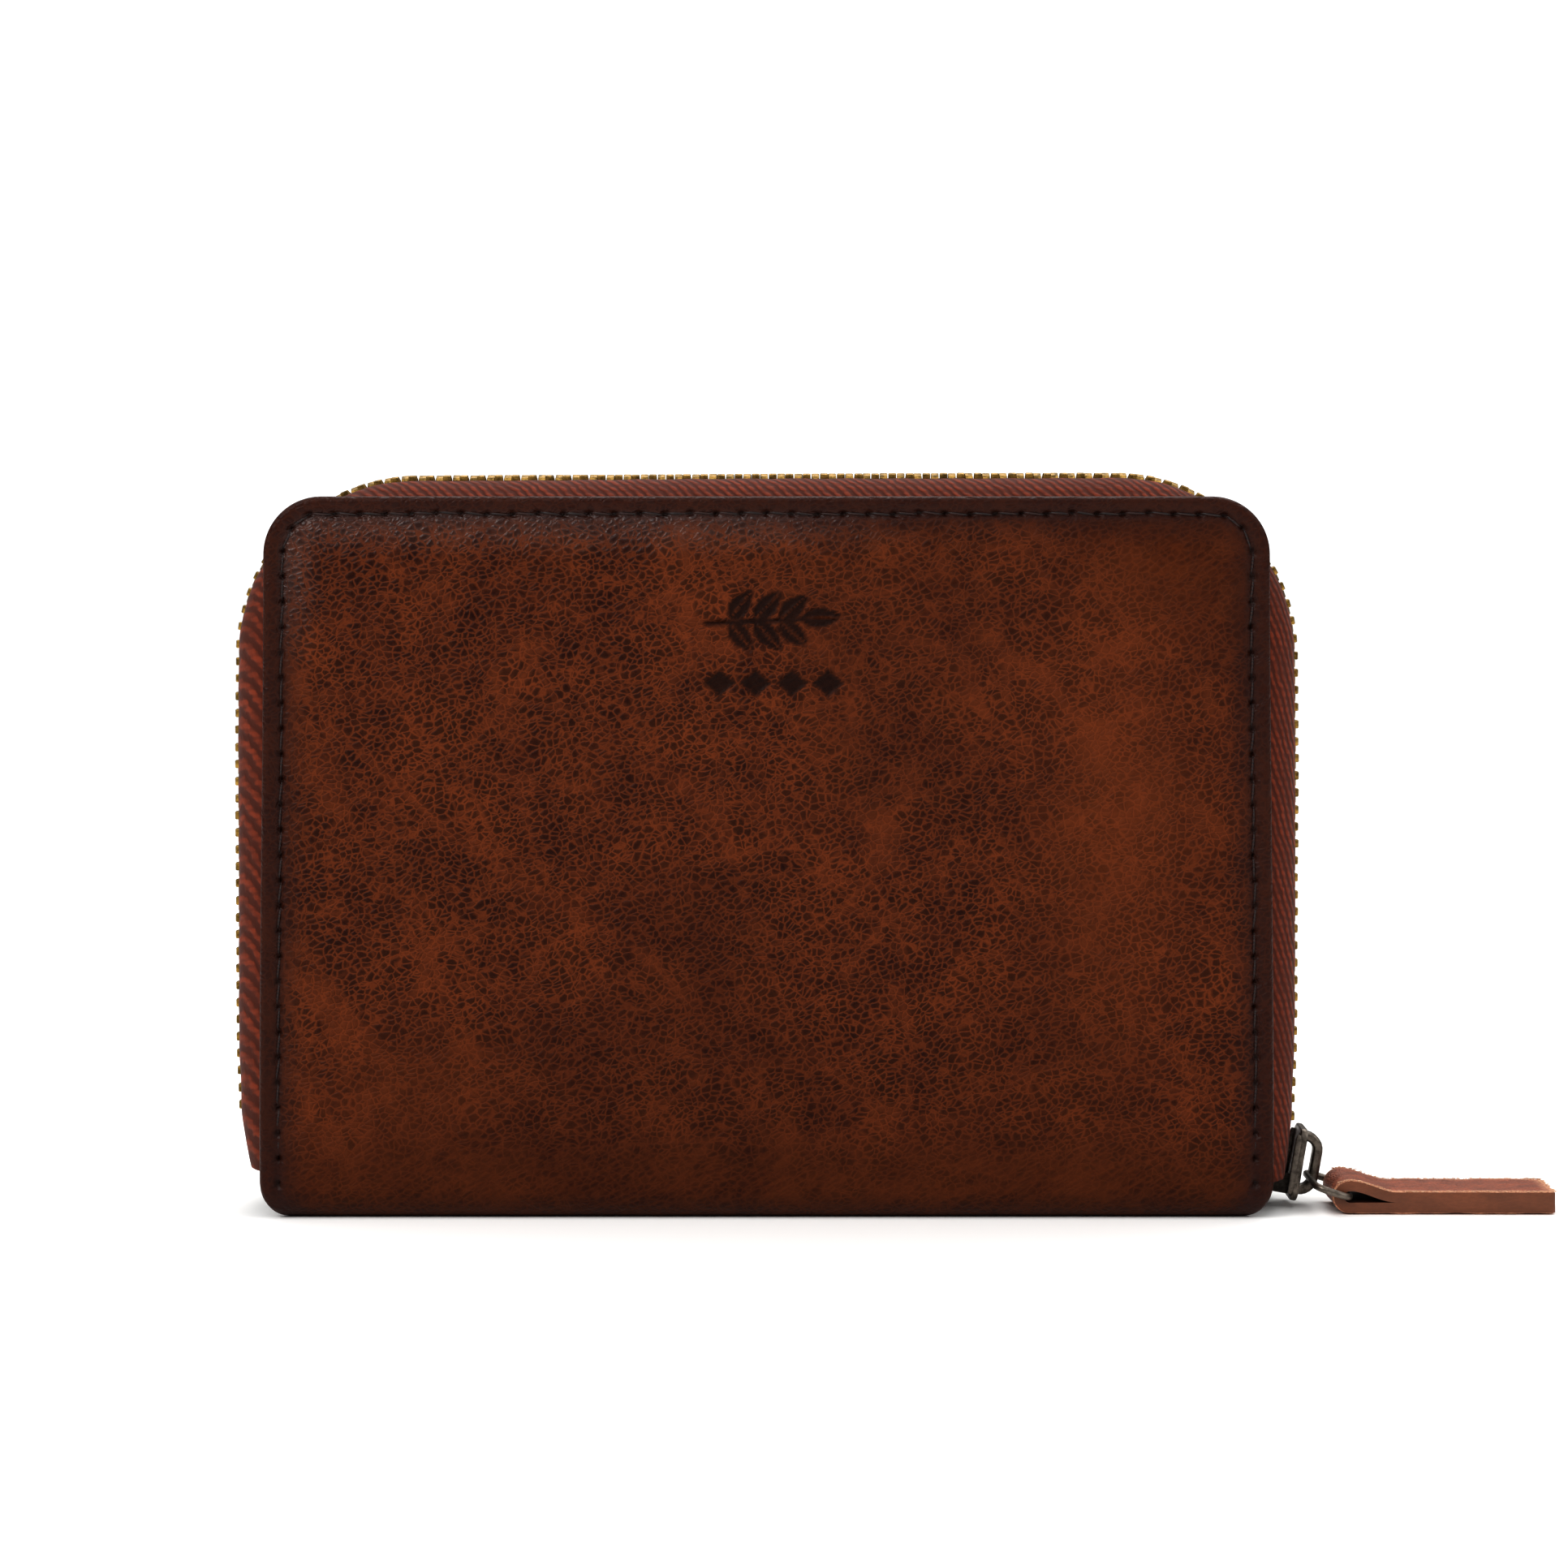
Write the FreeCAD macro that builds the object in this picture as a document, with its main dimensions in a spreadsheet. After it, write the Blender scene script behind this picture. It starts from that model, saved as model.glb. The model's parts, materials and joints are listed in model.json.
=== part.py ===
"""Zip-around leather pouch that stands on its spine, as a FreeCAD 1.1 parametric document, in millimetres.

Frame: +X to the closed zip's slider, +Y to the back cover, +Z up.
The origin is the middle of the spine's flat underside, on the surface that the pouch stands on.
The two covers fold about the spine's two creases, so the hinge lines lie at y = -/+half_depth, z = crease_height.
Zip pieces are laid out from the chain path: an arch in the XZ plane through the middle of both tapes.
"""
import FreeCAD, Part
import math
import os
import re
import Sketcher

Vector = FreeCAD.Vector
doc = FreeCAD.newDocument("zip_around_pouch")
sheet = doc.addObject("Spreadsheet::Sheet", "sizes")

# ---------------------------------------------------------------- driving dimensions, millimetres and degrees
SIZES = {
    # covers and spine
    "panel_height": 100.0,
    "panel_half_bottom": 70.2,
    "panel_half_top": 69.3,
    "panel_corner": 8.0,
    "half_depth": 13.0,
    "crease_height": 4.0,
    "spine_end_round": 4.0,
    "leather": 1.3,
    "spine_leather": 1.2,
    "rim_depth": 2.4,
    "rim_width": 2.2,
    "edge_round": 0.9,
    "tape_sheet": 0.4,
    "lining": 0.4,
    "spine_board": 0.8,
    # chain path, the arch through the middle of the closed zip
    "chain_half_width": 73.1,
    "chain_top": 102.05,
    "chain_corner": 24.0,
    "tape_low_right": 4.6,
    "tape_low_left": 6.2,
    # zip tape across its width, measured from the path
    "tape_web": 5.2,
    "tape_inner_edge": 1.2,
    "tape_half_thick": 0.3,
    "tape_slant": 3.6,
    "tape_flange": 9.0,
    # teeth
    "tooth_pitch": 2.4,
    "tooth_thick": 1.05,
    "tooth_half_tall": 1.25,
    "tooth_leg": 2.8,
    "tooth_reach": 0.75,
    "teeth_low_right": 12.25,
    "teeth_low_left": 12.6,
    "tooth_first": 0.6,
    "tooth_slot": 0.325,
    "tooth_root": 1.15,
    "tooth_shoulder": 1.0,
    # stops at the ends of the chain
    "top_stop_low": 5.2,
    "top_stop_high": 7.6,
    "top_stop_half": 0.45,
    "top_stop_lap": 0.25,
    "top_stop_wide": 1.2,
    "end_stop_half": 2.6,
    "end_stop_tall": 1.8,
    "end_stop_gap": 0.8,
    "end_stop_thick": 0.8,
    # seams
    "seam_inset": 2.7,
    "stitch_pitch": 3.5,
    "stitch_long": 2.5,
    "stitch_wide": 0.45,
    "stitch_tall": 0.22,
    "seam_low": 7.0,
    # slider
    "slider_middle": 6.45,
    "slider_long": 10.2,
    "slider_half_top": 3.9,
    "slider_half_wide": 4.6,
    "slider_channel": 1.75,
    "slider_blade": 1.0,
    "slider_lip_gap": 1.15,
    "slider_lip_inside": 3.4,
    "slider_post": 0.7,
    "slider_post_long": 3.0,
    "slider_tilt": 6.0,
    "slider_inset": 0.2,
    "blade_step": 1.0,
    "blade_round": 1.2,
    "blade_foot_round": 1.3,
    "post_foot": 0.3,
    # crown, pull link and leather puller
    "crown_thick": 2.2,
    "crown_out": 3.2,
    "crown_band": 1.5,
    "crown_foot": 0.45,
    "crown_bend": 2.4,
    "crown_inset": 0.5,
    "crown_soft": 0.35,
    "link_wire": 1.0,
    "link_half_wide": 6.6,
    "link_long": 5.0,
    "link_corner": 1.6,
    "link_near_high": 4.05,
    "link_near_out": 76.44,
    "link_slope": 18.0,
    "link_aside": -3.5,
    "puller_half_wide": 5.5,
    "puller_ply": 1.55,
    "puller_eye": 0.8,
    "puller_long": 31.0,
    "puller_straight": 5.5,
    "puller_hump": 2.6,
    "puller_hump_rise": 0.5,
    "puller_hollow": 6.0,
    "puller_shoulder": 4.2,
    "puller_wedge": 3.9,
    "puller_tip_round": 0.6,
    "puller_end_round": 1.2,
    # card slots
    "card_half_width": 62.0,
    "card_low": 6.0,
    "card_high": 88.0,
    "card_step": 12.0,
    "card_ply": 0.7,
    # coin pocket
    "coin_half_width": 58.0,
    "coin_outer": 2.9,
    "coin_wall": 0.6,
    "coin_top": 77.5,
    "coin_zip_level": 80.5,
    "coin_tape_half_thick": 0.2,
    "coin_zip_half": 54.0,
    "coin_slider_at": 48.0,
    "coin_teeth_start": 4.4,
    "coin_teeth_end": 2.5,
    "coin_tooth_first": 0.5,
    "coin_tooth_share": 0.8,
    "coin_tape_inner": 0.95,
    "coin_tape_flat": 3.8,
    "coin_tape_turn": 0.3,
    "coin_tape_join": 77.2,
    "coin_tape_low": 71.0,
    "coin_half_long": 3.8,
    "coin_half_top": 2.8,
    "coin_half_mouth": 3.1,
    "coin_channel": 1.2,
    "coin_blade": 0.8,
    "coin_lip_gap": 0.35,
    "coin_lip_inside": 2.6,
    "coin_post": 0.5,
    "coin_post_long": 2.0,
    "coin_crown_out": 2.5,
    "coin_crown_foot": 0.3,
    "coin_crown_band": 0.8,
    "coin_crown_bend": 1.6,
    "coin_crown_half": 2.4,
    "coin_tab_high": 2.85,
    "coin_tab_near": 0.45,
    "coin_tab_straight": 11.0,
    "coin_tab_half": 2.6,
    "coin_tab_half_thick": 0.4,
    "coin_window_far": 4.0,
    "coin_window_half": 1.5,
    # gussets
    "gusset_edge": 61.5,
    "gusset_apex": 44.0,
    "gusset_ply": 0.5,
    "gusset_fold": 1.5,
    "gusset_low": 7.0,
    "gusset_high": 62.0,
}
for row, (alias, value) in enumerate(SIZES.items(), start=1):
    sheet.set(f"A{row}", alias)
    sheet.set(f"B{row}", str(value))
    sheet.setAlias(f"B{row}", alias)
doc.recompute()

# ---------------------------------------------------------------- formulas over the sheet
made = []


def formula(text):
    """A formula with each of the sheet's names pointed at its cell."""
    return re.sub(r"[a-z][a-z_]*", lambda m: f"sizes.{m[0]}" if m[0] in SIZES else m[0], str(text))


def number(text):
    """What a formula comes to, as a plain number."""
    found = sheet.evalExpression(formula(text))
    return float(getattr(found, "Value", found))


def bind(obj, prop, text):
    obj.setExpression(prop, formula(text))


def keep(obj):
    """Marks a sub-part, which is written to its own file."""
    made.append(obj)
    return obj


# ---------------------------------------------------------------- PartDesign helpers
def new_body(label):
    body = doc.addObject("PartDesign::Body", label)
    body.Label = label
    return keep(body)


def join(sketch, before, after):
    """Holds the end of one line to the start of another. Each is (line, its start point, its end point)."""
    sketch.addConstraint(Sketcher.Constraint("Coincident", before[0], before[2], after[0], after[1]))


def add_outline(sketch, steps):
    """Draws one closed or open outline.

    A step is (x, y), or (x, y, radius) for an arc that ends there. A radius above 0 turns left.
    """
    corners = [(number(s[0]), number(s[1])) for s in steps]
    ends = []
    for i, step in enumerate(steps[1:], start=1):
        a, b = Vector(*corners[i - 1], 0), Vector(*corners[i], 0)
        if len(step) == 2:
            geo = sketch.addGeometry(Part.LineSegment(a, b), False)
            ends.append((geo, 1, 2))
            continue
        turn = number(step[2])
        radius, left = abs(turn), turn > 0
        chord = b - a
        away = math.sqrt(max(radius**2 - (chord.Length / 2) ** 2, 0.0))
        side = Vector(-chord.y, chord.x, 0).normalize() * (away if left else -away)
        centre = (a + b) / 2 + side
        first, last = (a, b) if left else (b, a)
        angles = [math.atan2(p.y - centre.y, p.x - centre.x) for p in (first, last)]
        if angles[1] < angles[0]:
            angles[1] += 2 * math.pi
        arc = Part.ArcOfCircle(Part.Circle(centre, Vector(0, 0, 1), radius), *angles)
        geo = sketch.addGeometry(arc, False)
        ends.append((geo, 1, 2) if left else (geo, 2, 1))
        index = sketch.addConstraint(Sketcher.Constraint("Radius", geo, radius))
        bind(sketch, f"Constraints[{index}]", f"abs({step[2]})")
    for before, after in zip(ends, ends[1:]):
        join(sketch, before, after)
    closed = corners[0] == corners[-1]
    if closed:
        join(sketch, ends[-1], ends[0])
    places = [(e[0], e[1]) for e in ends] + ([] if closed else [(ends[-1][0], ends[-1][2])])
    for (geo, point), step, corner in zip(places, steps, corners):
        for kind, text, at in (("DistanceX", step[0], corner[0]), ("DistanceY", step[1], corner[1])):
            index = sketch.addConstraint(Sketcher.Constraint(kind, -1, 1, geo, point, at))
            bind(sketch, f"Constraints[{index}]", text)


def new_sketch(body, name, plane, steps, offset="0"):
    """A sketch on one of the body's origin planes, moved along that plane's normal. XZ has its normal along -Y."""
    sketch = body.newObject("Sketcher::SketchObject", f"{body.Name}_{name}")
    base = [f for f in body.Origin.OriginFeatures if f.Role == plane][0]
    sketch.AttachmentSupport = [(base, "")]
    sketch.MapMode = "FlatFace"
    bind(sketch, "AttachmentOffset.Base.z", offset)
    doc.recompute()
    for outline in steps if isinstance(steps[0], list) else [steps]:
        add_outline(sketch, outline)
    return sketch


def pad(body, name, plane, steps, low, high):
    """Adds a slab between two levels of the axis that plane is square to."""
    along_minus = plane == "XZ_Plane"
    start = f"-({high})" if along_minus else low
    feature = body.newObject("PartDesign::Pad", f"{body.Name}_{name}_pad")
    feature.Profile = new_sketch(body, name, plane, steps, start)
    bind(feature, "Length", f"({high}) - ({low})")
    doc.recompute()
    return feature


def cut(body, name, plane, steps, low, high):
    """Takes away a slab between two levels, by a pocket that points back along the sketch's normal."""
    along_minus = plane == "XZ_Plane"
    start = f"-({low})" if along_minus else high
    before = body.Shape.Volume
    feature = body.newObject("PartDesign::Pocket", f"{body.Name}_{name}_pocket")
    feature.Profile = new_sketch(body, name, plane, steps, start)
    bind(feature, "Length", f"({high}) - ({low})")
    doc.recompute()
    if body.Shape.Volume > before - 1e-3:
        raise ValueError(f"{body.Label}: pocket {name} cut nothing")
    return feature


def round_edges(body, name, radius, test):
    """Fillets the edges of the body's last shape that pass the test."""
    base = body.Tip
    names = [f"Edge{i}" for i, e in enumerate(base.Shape.Edges, start=1) if test(e)]
    if not names:
        raise ValueError(f"{body.Label}: no edge to round for {name}")
    feature = body.newObject("PartDesign::Fillet", f"{body.Name}_{name}")
    feature.Base = (base, names)
    bind(feature, "Radius", radius)
    doc.recompute()
    return feature


def sweep(body, name, path_plane, path, profile_plane, profile, profile_offset):
    """Carries a closed profile along a path of straight runs and tangent arcs."""
    rail = new_sketch(body, f"{name}_path", path_plane, path)
    feature = body.newObject("PartDesign::AdditivePipe", f"{body.Name}_{name}_pipe")
    feature.Profile = new_sketch(body, f"{name}_profile", profile_plane, profile, profile_offset)
    feature.Spine = (rail, [])
    doc.recompute()
    return feature


def block(label, low, high):
    """A plain box between two corners, each given as three formulas."""
    box = doc.addObject("Part::Box", label)
    box.Label = label
    for side, axis, a, b in zip(("Length", "Width", "Height"), "xyz", low, high):
        bind(box, side, f"({b}) - ({a})")
        bind(box, f"Placement.Base.{axis}", a)
    return box


def slab(label, low, high):
    """A box that is a sub-part of its own."""
    return keep(block(label, low, high))


# ---------------------------------------------------------------- shared outlines
def arch(half_bottom, half_top, low, high, corner):
    """A closed arch: straight foot, two sides and rounded upper corners."""
    foot = [(f"-({half_bottom})", low), (half_bottom, low)]
    right = [(half_top, f"({high}) - ({corner})"), (f"({half_top}) - ({corner})", high, corner)]
    left = [(f"({corner}) - ({half_top})", high), (f"-({half_top})", f"({high}) - ({corner})", corner)]
    return foot + right + left + [foot[0]]


def chain_arch(inside, low):
    """The arch that runs a distance inside the chain path."""
    half = f"chain_half_width - ({inside})"
    return arch(half, half, low, f"chain_top - ({inside})", f"chain_corner - ({inside})")


def chain_path():
    """The chain's own path, open, from the right foot round to the left foot."""
    return [
        ("chain_half_width", "tape_low_right"),
        ("chain_half_width", "chain_top - chain_corner"),
        ("chain_half_width - chain_corner", "chain_top", "chain_corner"),
        ("chain_corner - chain_half_width", "chain_top"),
        ("-chain_half_width", "chain_top - chain_corner", "chain_corner"),
        ("-chain_half_width", "tape_low_left"),
    ]


def layer(side, near, far):
    """Low and high y of a layer between two distances from the middle plane. side is -1 in front, 1 behind."""
    return (f"-({far})", f"-({near})") if side < 0 else (near, far)


# ---------------------------------------------------------------- spine
def make_spine():
    leather = new_body("spine_leather")
    outer, inner = "crease_height", "crease_height - spine_leather"
    channel = [
        ("-half_depth", "crease_height"),
        (f"{outer} - half_depth", "0", outer),
        (f"half_depth - {outer}", "0"),
        ("half_depth", "crease_height", outer),
        ("half_depth - spine_leather", "crease_height"),
        ("half_depth - crease_height", "spine_leather", f"-({inner})"),
        ("crease_height - half_depth", "spine_leather"),
        ("spine_leather - half_depth", "crease_height", f"-({inner})"),
        ("-half_depth", "crease_height"),
    ]
    pad(leather, "channel", "YZ_Plane", channel, "-panel_half_bottom", "panel_half_bottom")
    for name, turn in (("left", -1), ("right", 1)):
        end = f"{turn} * panel_half_bottom"
        corner = [
            (end, "0"),
            (end, "spine_end_round"),
            (f"{turn} * (panel_half_bottom - spine_end_round)", "0", f"{-turn} * spine_end_round"),
            (end, "0"),
        ]
        cut(leather, f"{name}_end", "XZ_Plane", corner, "-half_depth", "half_depth")
    board_half = "half_depth - crease_height"
    board_end = "panel_half_bottom - spine_end_round"
    levels = ("spine_leather", "spine_leather + spine_board", "spine_leather + spine_board + lining")
    for label, low, high in zip(("spine_stiffener", "spine_lining"), levels, levels[1:]):
        slab(label, (f"-({board_end})", f"-({board_half})", low), (board_end, board_half, high))


# ---------------------------------------------------------------- covers
def make_cover(side, word):
    """The leather with its turned rim, stiffener board, padding and lining of one cover."""
    face_in = "half_depth - leather"
    rim_in = "half_depth - rim_depth"
    outline = arch("panel_half_bottom", "panel_half_top", "crease_height", "panel_height", "panel_corner")
    leather = new_body(f"{word}_cover_leather")
    pad(leather, "face", "XZ_Plane", outline, *layer(side, face_in, "half_depth"))
    inner = arch("panel_half_bottom - rim_width", "panel_half_top - rim_width", "crease_height",
                 "panel_height - rim_width", "panel_corner - rim_width")
    rim = outline[1:-1] + [outline[0], inner[0]] + [
        (inner[5][0], inner[5][1]),
        (inner[4][0], inner[4][1], "rim_width - panel_corner"),
        (inner[3][0], inner[3][1]),
        (inner[2][0], inner[2][1], "rim_width - panel_corner"),
        inner[1],
        outline[1],
    ]
    pad(leather, "rim", "XZ_Plane", rim, *layer(side, rim_in, face_in))
    flat = side * number("half_depth")
    foot = number("crease_height")

    def on_outer_rim(edge):
        box = edge.BoundBox
        return abs(box.YMin - flat) < 1e-6 and abs(box.YMax - flat) < 1e-6 and box.ZMax > foot + 1e-6

    round_edges(leather, "edge", "edge_round", on_outer_rim)
    board = new_body(f"{word}_stiffener_board")
    pad(board, "plate", "XZ_Plane", inner, *layer(side, rim_in, face_in))
    flange_in = f"{rim_in} - tape_sheet"
    padding = new_body(f"{word}_padding")
    pad(padding, "plate", "XZ_Plane", chain_arch("tape_flange + 0.2", "crease_height + 1"),
        *layer(side, flange_in, rim_in))
    lining = new_body(f"{word}_lining")
    pad(lining, "plate", "XZ_Plane", chain_arch("tape_slant + 0.8", "crease_height + 0.5"),
        *layer(side, f"{flange_in} - lining", flange_in))


def make_card_slots(side, word):
    """Three stepped leather strips sewn to the lining. Each holds two cards side by side."""
    back = "half_depth - rim_depth - tape_sheet - lining"
    for step in range(3):
        far = f"{back} - {step} * card_ply"
        low, high = layer(side, f"{far} - card_ply", far)
        top = f"card_high - {step} * card_step"
        slab(f"{word}_card_slot_{step + 1}", ("-card_half_width", low, "card_low"), ("card_half_width", high, top))


# ---------------------------------------------------------------- zip tapes and teeth
def make_tape(side, word):
    """A woven tape: flat by the chain, slanting to the cover's edge, then a flange between leather and lining."""
    rim_in = "half_depth - rim_depth"
    sheet_in = f"{rim_in} - tape_sheet"
    across = [
        ("tape_half_thick", "tape_inner_edge"),
        ("tape_half_thick", "tape_web"),
        ("-tape_slant + tape_sheet", sheet_in),
        ("-tape_slant + tape_sheet", rim_in),
        ("-tape_flange", rim_in),
        ("-tape_flange", sheet_in),
        ("-tape_slant - 0.1", sheet_in),
        ("-tape_half_thick", "tape_web - 0.2"),
        ("-tape_half_thick", "tape_inner_edge"),
    ]
    steps = [(f"chain_half_width + {n}", f"{side} * ({y})") for n, y in across]
    tape = new_body(f"zip_tape_{word}")
    sweep(tape, "weave", "XZ_Plane", chain_path(), "XY_Plane", steps + [steps[0]], "tape_low_right")


def path_edges(half, top, corner, low_right, low_left):
    """The edges of an arch in the XZ plane, from its right foot round to its left foot."""
    def at(x, z):
        return Vector(x, 0, z)

    middle = math.sqrt(0.5) * corner
    right, left = at(half - corner, top - corner), at(corner - half, top - corner)
    return [
        Part.LineSegment(at(half, low_right), at(half, top - corner)).toShape(),
        Part.Arc(at(half, top - corner), right + at(middle, middle), at(half - corner, top)).toShape(),
        Part.LineSegment(at(half - corner, top), at(corner - half, top)).toShape(),
        Part.Arc(at(corner - half, top), left + at(-middle, middle), at(-half, top - corner)).toShape(),
        Part.LineSegment(at(-half, top - corner), at(-half, low_left)).toShape(),
    ]


def stations(edges, first, pitch, last=0.0):
    """Points and unit tangents every pitch along the edges, clear of both ends by first and last."""
    found, run = [], 0.0
    total = sum(e.Length for e in edges)
    want = first
    for edge in edges:
        while want <= run + edge.Length and want <= total - last:
            at = edge.getParameterByLength(want - run)
            found.append((edge.valueAt(at), edge.tangentAt(at)))
            want += pitch
        run += edge.Length
    return found


def tooth(place, tangent, outward, across, scale=1.0):
    """One metal tooth: two legs clamp the tape's edge, and the head reaches past the middle plane."""
    tall, leg, reach = (scale * number(k) for k in ("tooth_half_tall", "tooth_leg", "tooth_reach"))
    thick = scale * number("tooth_thick")
    slot, root, shoulder = (scale * number(k) for k in ("tooth_slot", "tooth_root", "tooth_shoulder"))
    half = [(-leg, slot), (-leg, tall - 0.1), (-shoulder, tall), (0.6 * reach, 0.76 * tall), (reach, 0.48 * tall)]
    section = half + [(w, -n) for w, n in reversed(half)] + [(-root, -slot), (-root, slot)]
    corners = [place + across * w + outward * n - tangent * (thick / 2) for w, n in section]
    face = Part.Face(Part.makePolygon(corners + corners[:1]))
    return face.extrude(tangent * thick)


def make_teeth(label, side, edges, first, pitch, last, outward_of, scale=1.0):
    """A row of separate teeth on one tape."""
    across = Vector(0, -side, 0)
    row = [tooth(p, t, outward_of(p, t), across, scale) for p, t in stations(edges, first, pitch, last)]
    feature = doc.addObject("Part::Feature", label)
    feature.Label = label
    feature.Shape = Part.makeCompound(row)
    return keep(feature)


def make_zip(side, word):
    """One tape with its row of teeth, and the folded clamp that stops the slider at the closed end."""
    make_tape(side, word)
    sizes = ("chain_half_width", "chain_top", "chain_corner", "teeth_low_right", "teeth_low_left")
    edges = path_edges(*(number(k) for k in sizes))
    pitch, last = number("tooth_pitch"), number("tooth_first")
    first = last if side < 0 else last + pitch / 2
    make_teeth(f"zip_teeth_{word}", side, edges, first, pitch, last, lambda p, t: Vector(t.z, 0, -t.x))
    edge, reach = "tape_inner_edge", "tape_inner_edge + top_stop_wide"
    pieces = []
    for name, half, near, far, spare in (
        ("clamp", "top_stop_half", f"{edge} - top_stop_lap", reach, "0"),
        ("slot", "tape_half_thick", edge, f"{reach} + top_stop_lap", "top_stop_lap"),
    ):
        low, high = layer(side, near, far)
        pieces.append(block(f"stop_{name}_{word}",
                            (f"chain_half_width - {half}", low, f"top_stop_low - {spare}"),
                            (f"chain_half_width + {half}", high, f"top_stop_high + {spare}")))
    stop = doc.addObject("Part::Cut", f"zip_top_stop_{word}")
    stop.Label = f"zip_top_stop_{word}"
    stop.Base, stop.Tool = pieces
    keep(stop)


def make_bottom_stop():
    """A flat bar behind both tapes, below the first teeth at the left foot, which ends the slider's run."""
    inner, top = "tape_half_thick - chain_half_width", "teeth_low_left - end_stop_gap"
    slab("zip_bottom_stop", (inner, "-end_stop_half", f"{top} - end_stop_tall"),
         (f"{inner} + end_stop_thick", "end_stop_half", top))


# ---------------------------------------------------------------- seams
def stitch_row(label, places):
    """Separate stitches lying on a surface. A place is (middle, direction along, direction out of the surface)."""
    long, wide, tall = (number(k) for k in ("stitch_long", "stitch_wide", "stitch_tall"))
    row = []
    for middle, along, out in places:
        across = along.cross(out)
        foot = middle - along * (long / 2) - across * (wide / 2)
        base = [foot, foot + along * long, foot + along * long + across * wide, foot + across * wide, foot]
        row.append(Part.Face(Part.makePolygon(base)).extrude(out * tall))
    feature = doc.addObject("Part::Feature", label)
    feature.Label = label
    feature.Shape = Part.makeCompound(row)
    return keep(feature)


def make_seams(side, word):
    """The perimeter seam on a cover's outer face and the middle seam down its card slots."""
    inset = number("seam_inset")
    edges = path_edges(number("panel_half_top") - inset, number("panel_height") - inset,
                       number("panel_corner") - inset, number("seam_low"), number("seam_low"))
    out = Vector(0, side, 0)
    lift = out * number("half_depth")
    pitch = number("stitch_pitch")
    places = [(p + lift, t, out) for p, t in stations(edges, pitch / 2, pitch, pitch / 2)]
    stitch_row(f"{word}_cover_stitching", places)
    inner_face = number("half_depth - rim_depth - tape_sheet - lining - 3 * card_ply")
    low, high = number("card_low"), number("card_high - 2 * card_step")
    count = int((high - low) / pitch)
    middle = [
        (Vector(0, side * inner_face, low + pitch * (i + 0.5)), Vector(0, 0, 1), Vector(0, -side, 0))
        for i in range(count)
    ]
    stitch_row(f"{word}_card_stitching", middle)


# ---------------------------------------------------------------- coin pocket and its zip
def make_coin_pocket():
    """Two leather walls joined by a welt at the foot and both ends, with a small zip along the mouth."""
    foot = "spine_leather + spine_board + lining"
    inner = "coin_outer - coin_wall"
    for side, word in ((-1, "front"), (1, "back")):
        low, high = layer(side, inner, "coin_outer")
        slab(f"coin_pocket_{word}_wall", ("-coin_half_width", low, foot), ("coin_half_width", high, "coin_top"))
    welt = new_body("coin_pocket_welt")
    outline = [
        ("-coin_half_width", "coin_top"),
        ("-coin_half_width", foot),
        ("coin_half_width", foot),
        ("coin_half_width", "coin_top"),
        ("coin_half_width - coin_wall", "coin_top"),
        ("coin_half_width - coin_wall", f"{foot} + coin_wall"),
        ("coin_wall - coin_half_width", f"{foot} + coin_wall"),
        ("coin_wall - coin_half_width", "coin_top"),
        ("-coin_half_width", "coin_top"),
    ]
    pad(welt, "strip", "XZ_Plane", outline, f"-({inner})", inner)
    level, thin, flat = "coin_zip_level", "coin_tape_half_thick", "coin_tape_flat"
    outer = f"coin_outer + 2 * {thin}"
    across = [
        ("coin_tape_inner", f"{level} + {thin}"),
        (flat, f"{level} + {thin}"),
        (f"{flat} + coin_tape_turn", f"{level} - coin_tape_turn - {thin}"),
        (outer, "coin_tape_join"),
        (outer, "coin_tape_low"),
        ("coin_outer", "coin_tape_low"),
        ("coin_outer", f"coin_tape_join - {thin}"),
        (f"{flat} + coin_tape_turn - 2 * {thin}", f"{level} - 2 * coin_tape_turn"),
        (f"{flat} - coin_tape_turn", f"{level} - {thin}"),
        ("coin_tape_inner", f"{level} - {thin}"),
    ]
    share, half, height = number("coin_tooth_share"), number("coin_zip_half"), number(level)
    start = number("coin_slider_at - coin_teeth_start")
    line = Part.LineSegment(Vector(start, 0, height), Vector(number("coin_teeth_end") - half, 0, height)).toShape()
    pitch, last = share * number("tooth_pitch"), number("coin_tooth_first")
    for side, word in ((-1, "front"), (1, "back")):
        steps = [(f"{side} * ({y})", z) for y, z in across]
        tape = new_body(f"coin_zip_tape_{word}")
        pad(tape, "weave", "YZ_Plane", steps + [steps[0]], "-coin_zip_half", "coin_zip_half")
        first = last if side < 0 else last + pitch / 2
        make_teeth(f"coin_zip_teeth_{word}", side, [line], first, pitch, last, lambda p, t: Vector(0, 0, 1), share)


def make_gussets():
    """Four pleated strips that join the card slots to the coin pocket and limit how far the covers open."""
    face = "half_depth - rim_depth - tape_sheet - lining - 3 * card_ply"
    for side, word in ((-1, "front"), (1, "back")):
        for turn, end in ((-1, "left"), (1, "right")):
            middle = f"(({face}) + coin_outer) / 2"
            across = [
                ("gusset_edge", face),
                ("gusset_apex", f"{middle} + gusset_ply / 2"),
                ("gusset_apex", f"{middle} - gusset_ply / 2"),
                ("gusset_edge", "coin_outer"),
                ("gusset_edge", "coin_outer + gusset_ply"),
                ("gusset_apex + gusset_fold", middle),
                ("gusset_edge", f"{face} - gusset_ply"),
            ]
            steps = [(f"{turn} * ({x})", f"{side} * ({y})") for x, y in across]
            gusset = new_body(f"gusset_{word}_{end}")
            pad(gusset, "pleat", "XY_Plane", steps + [steps[0]], "gusset_low", "gusset_high")


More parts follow.
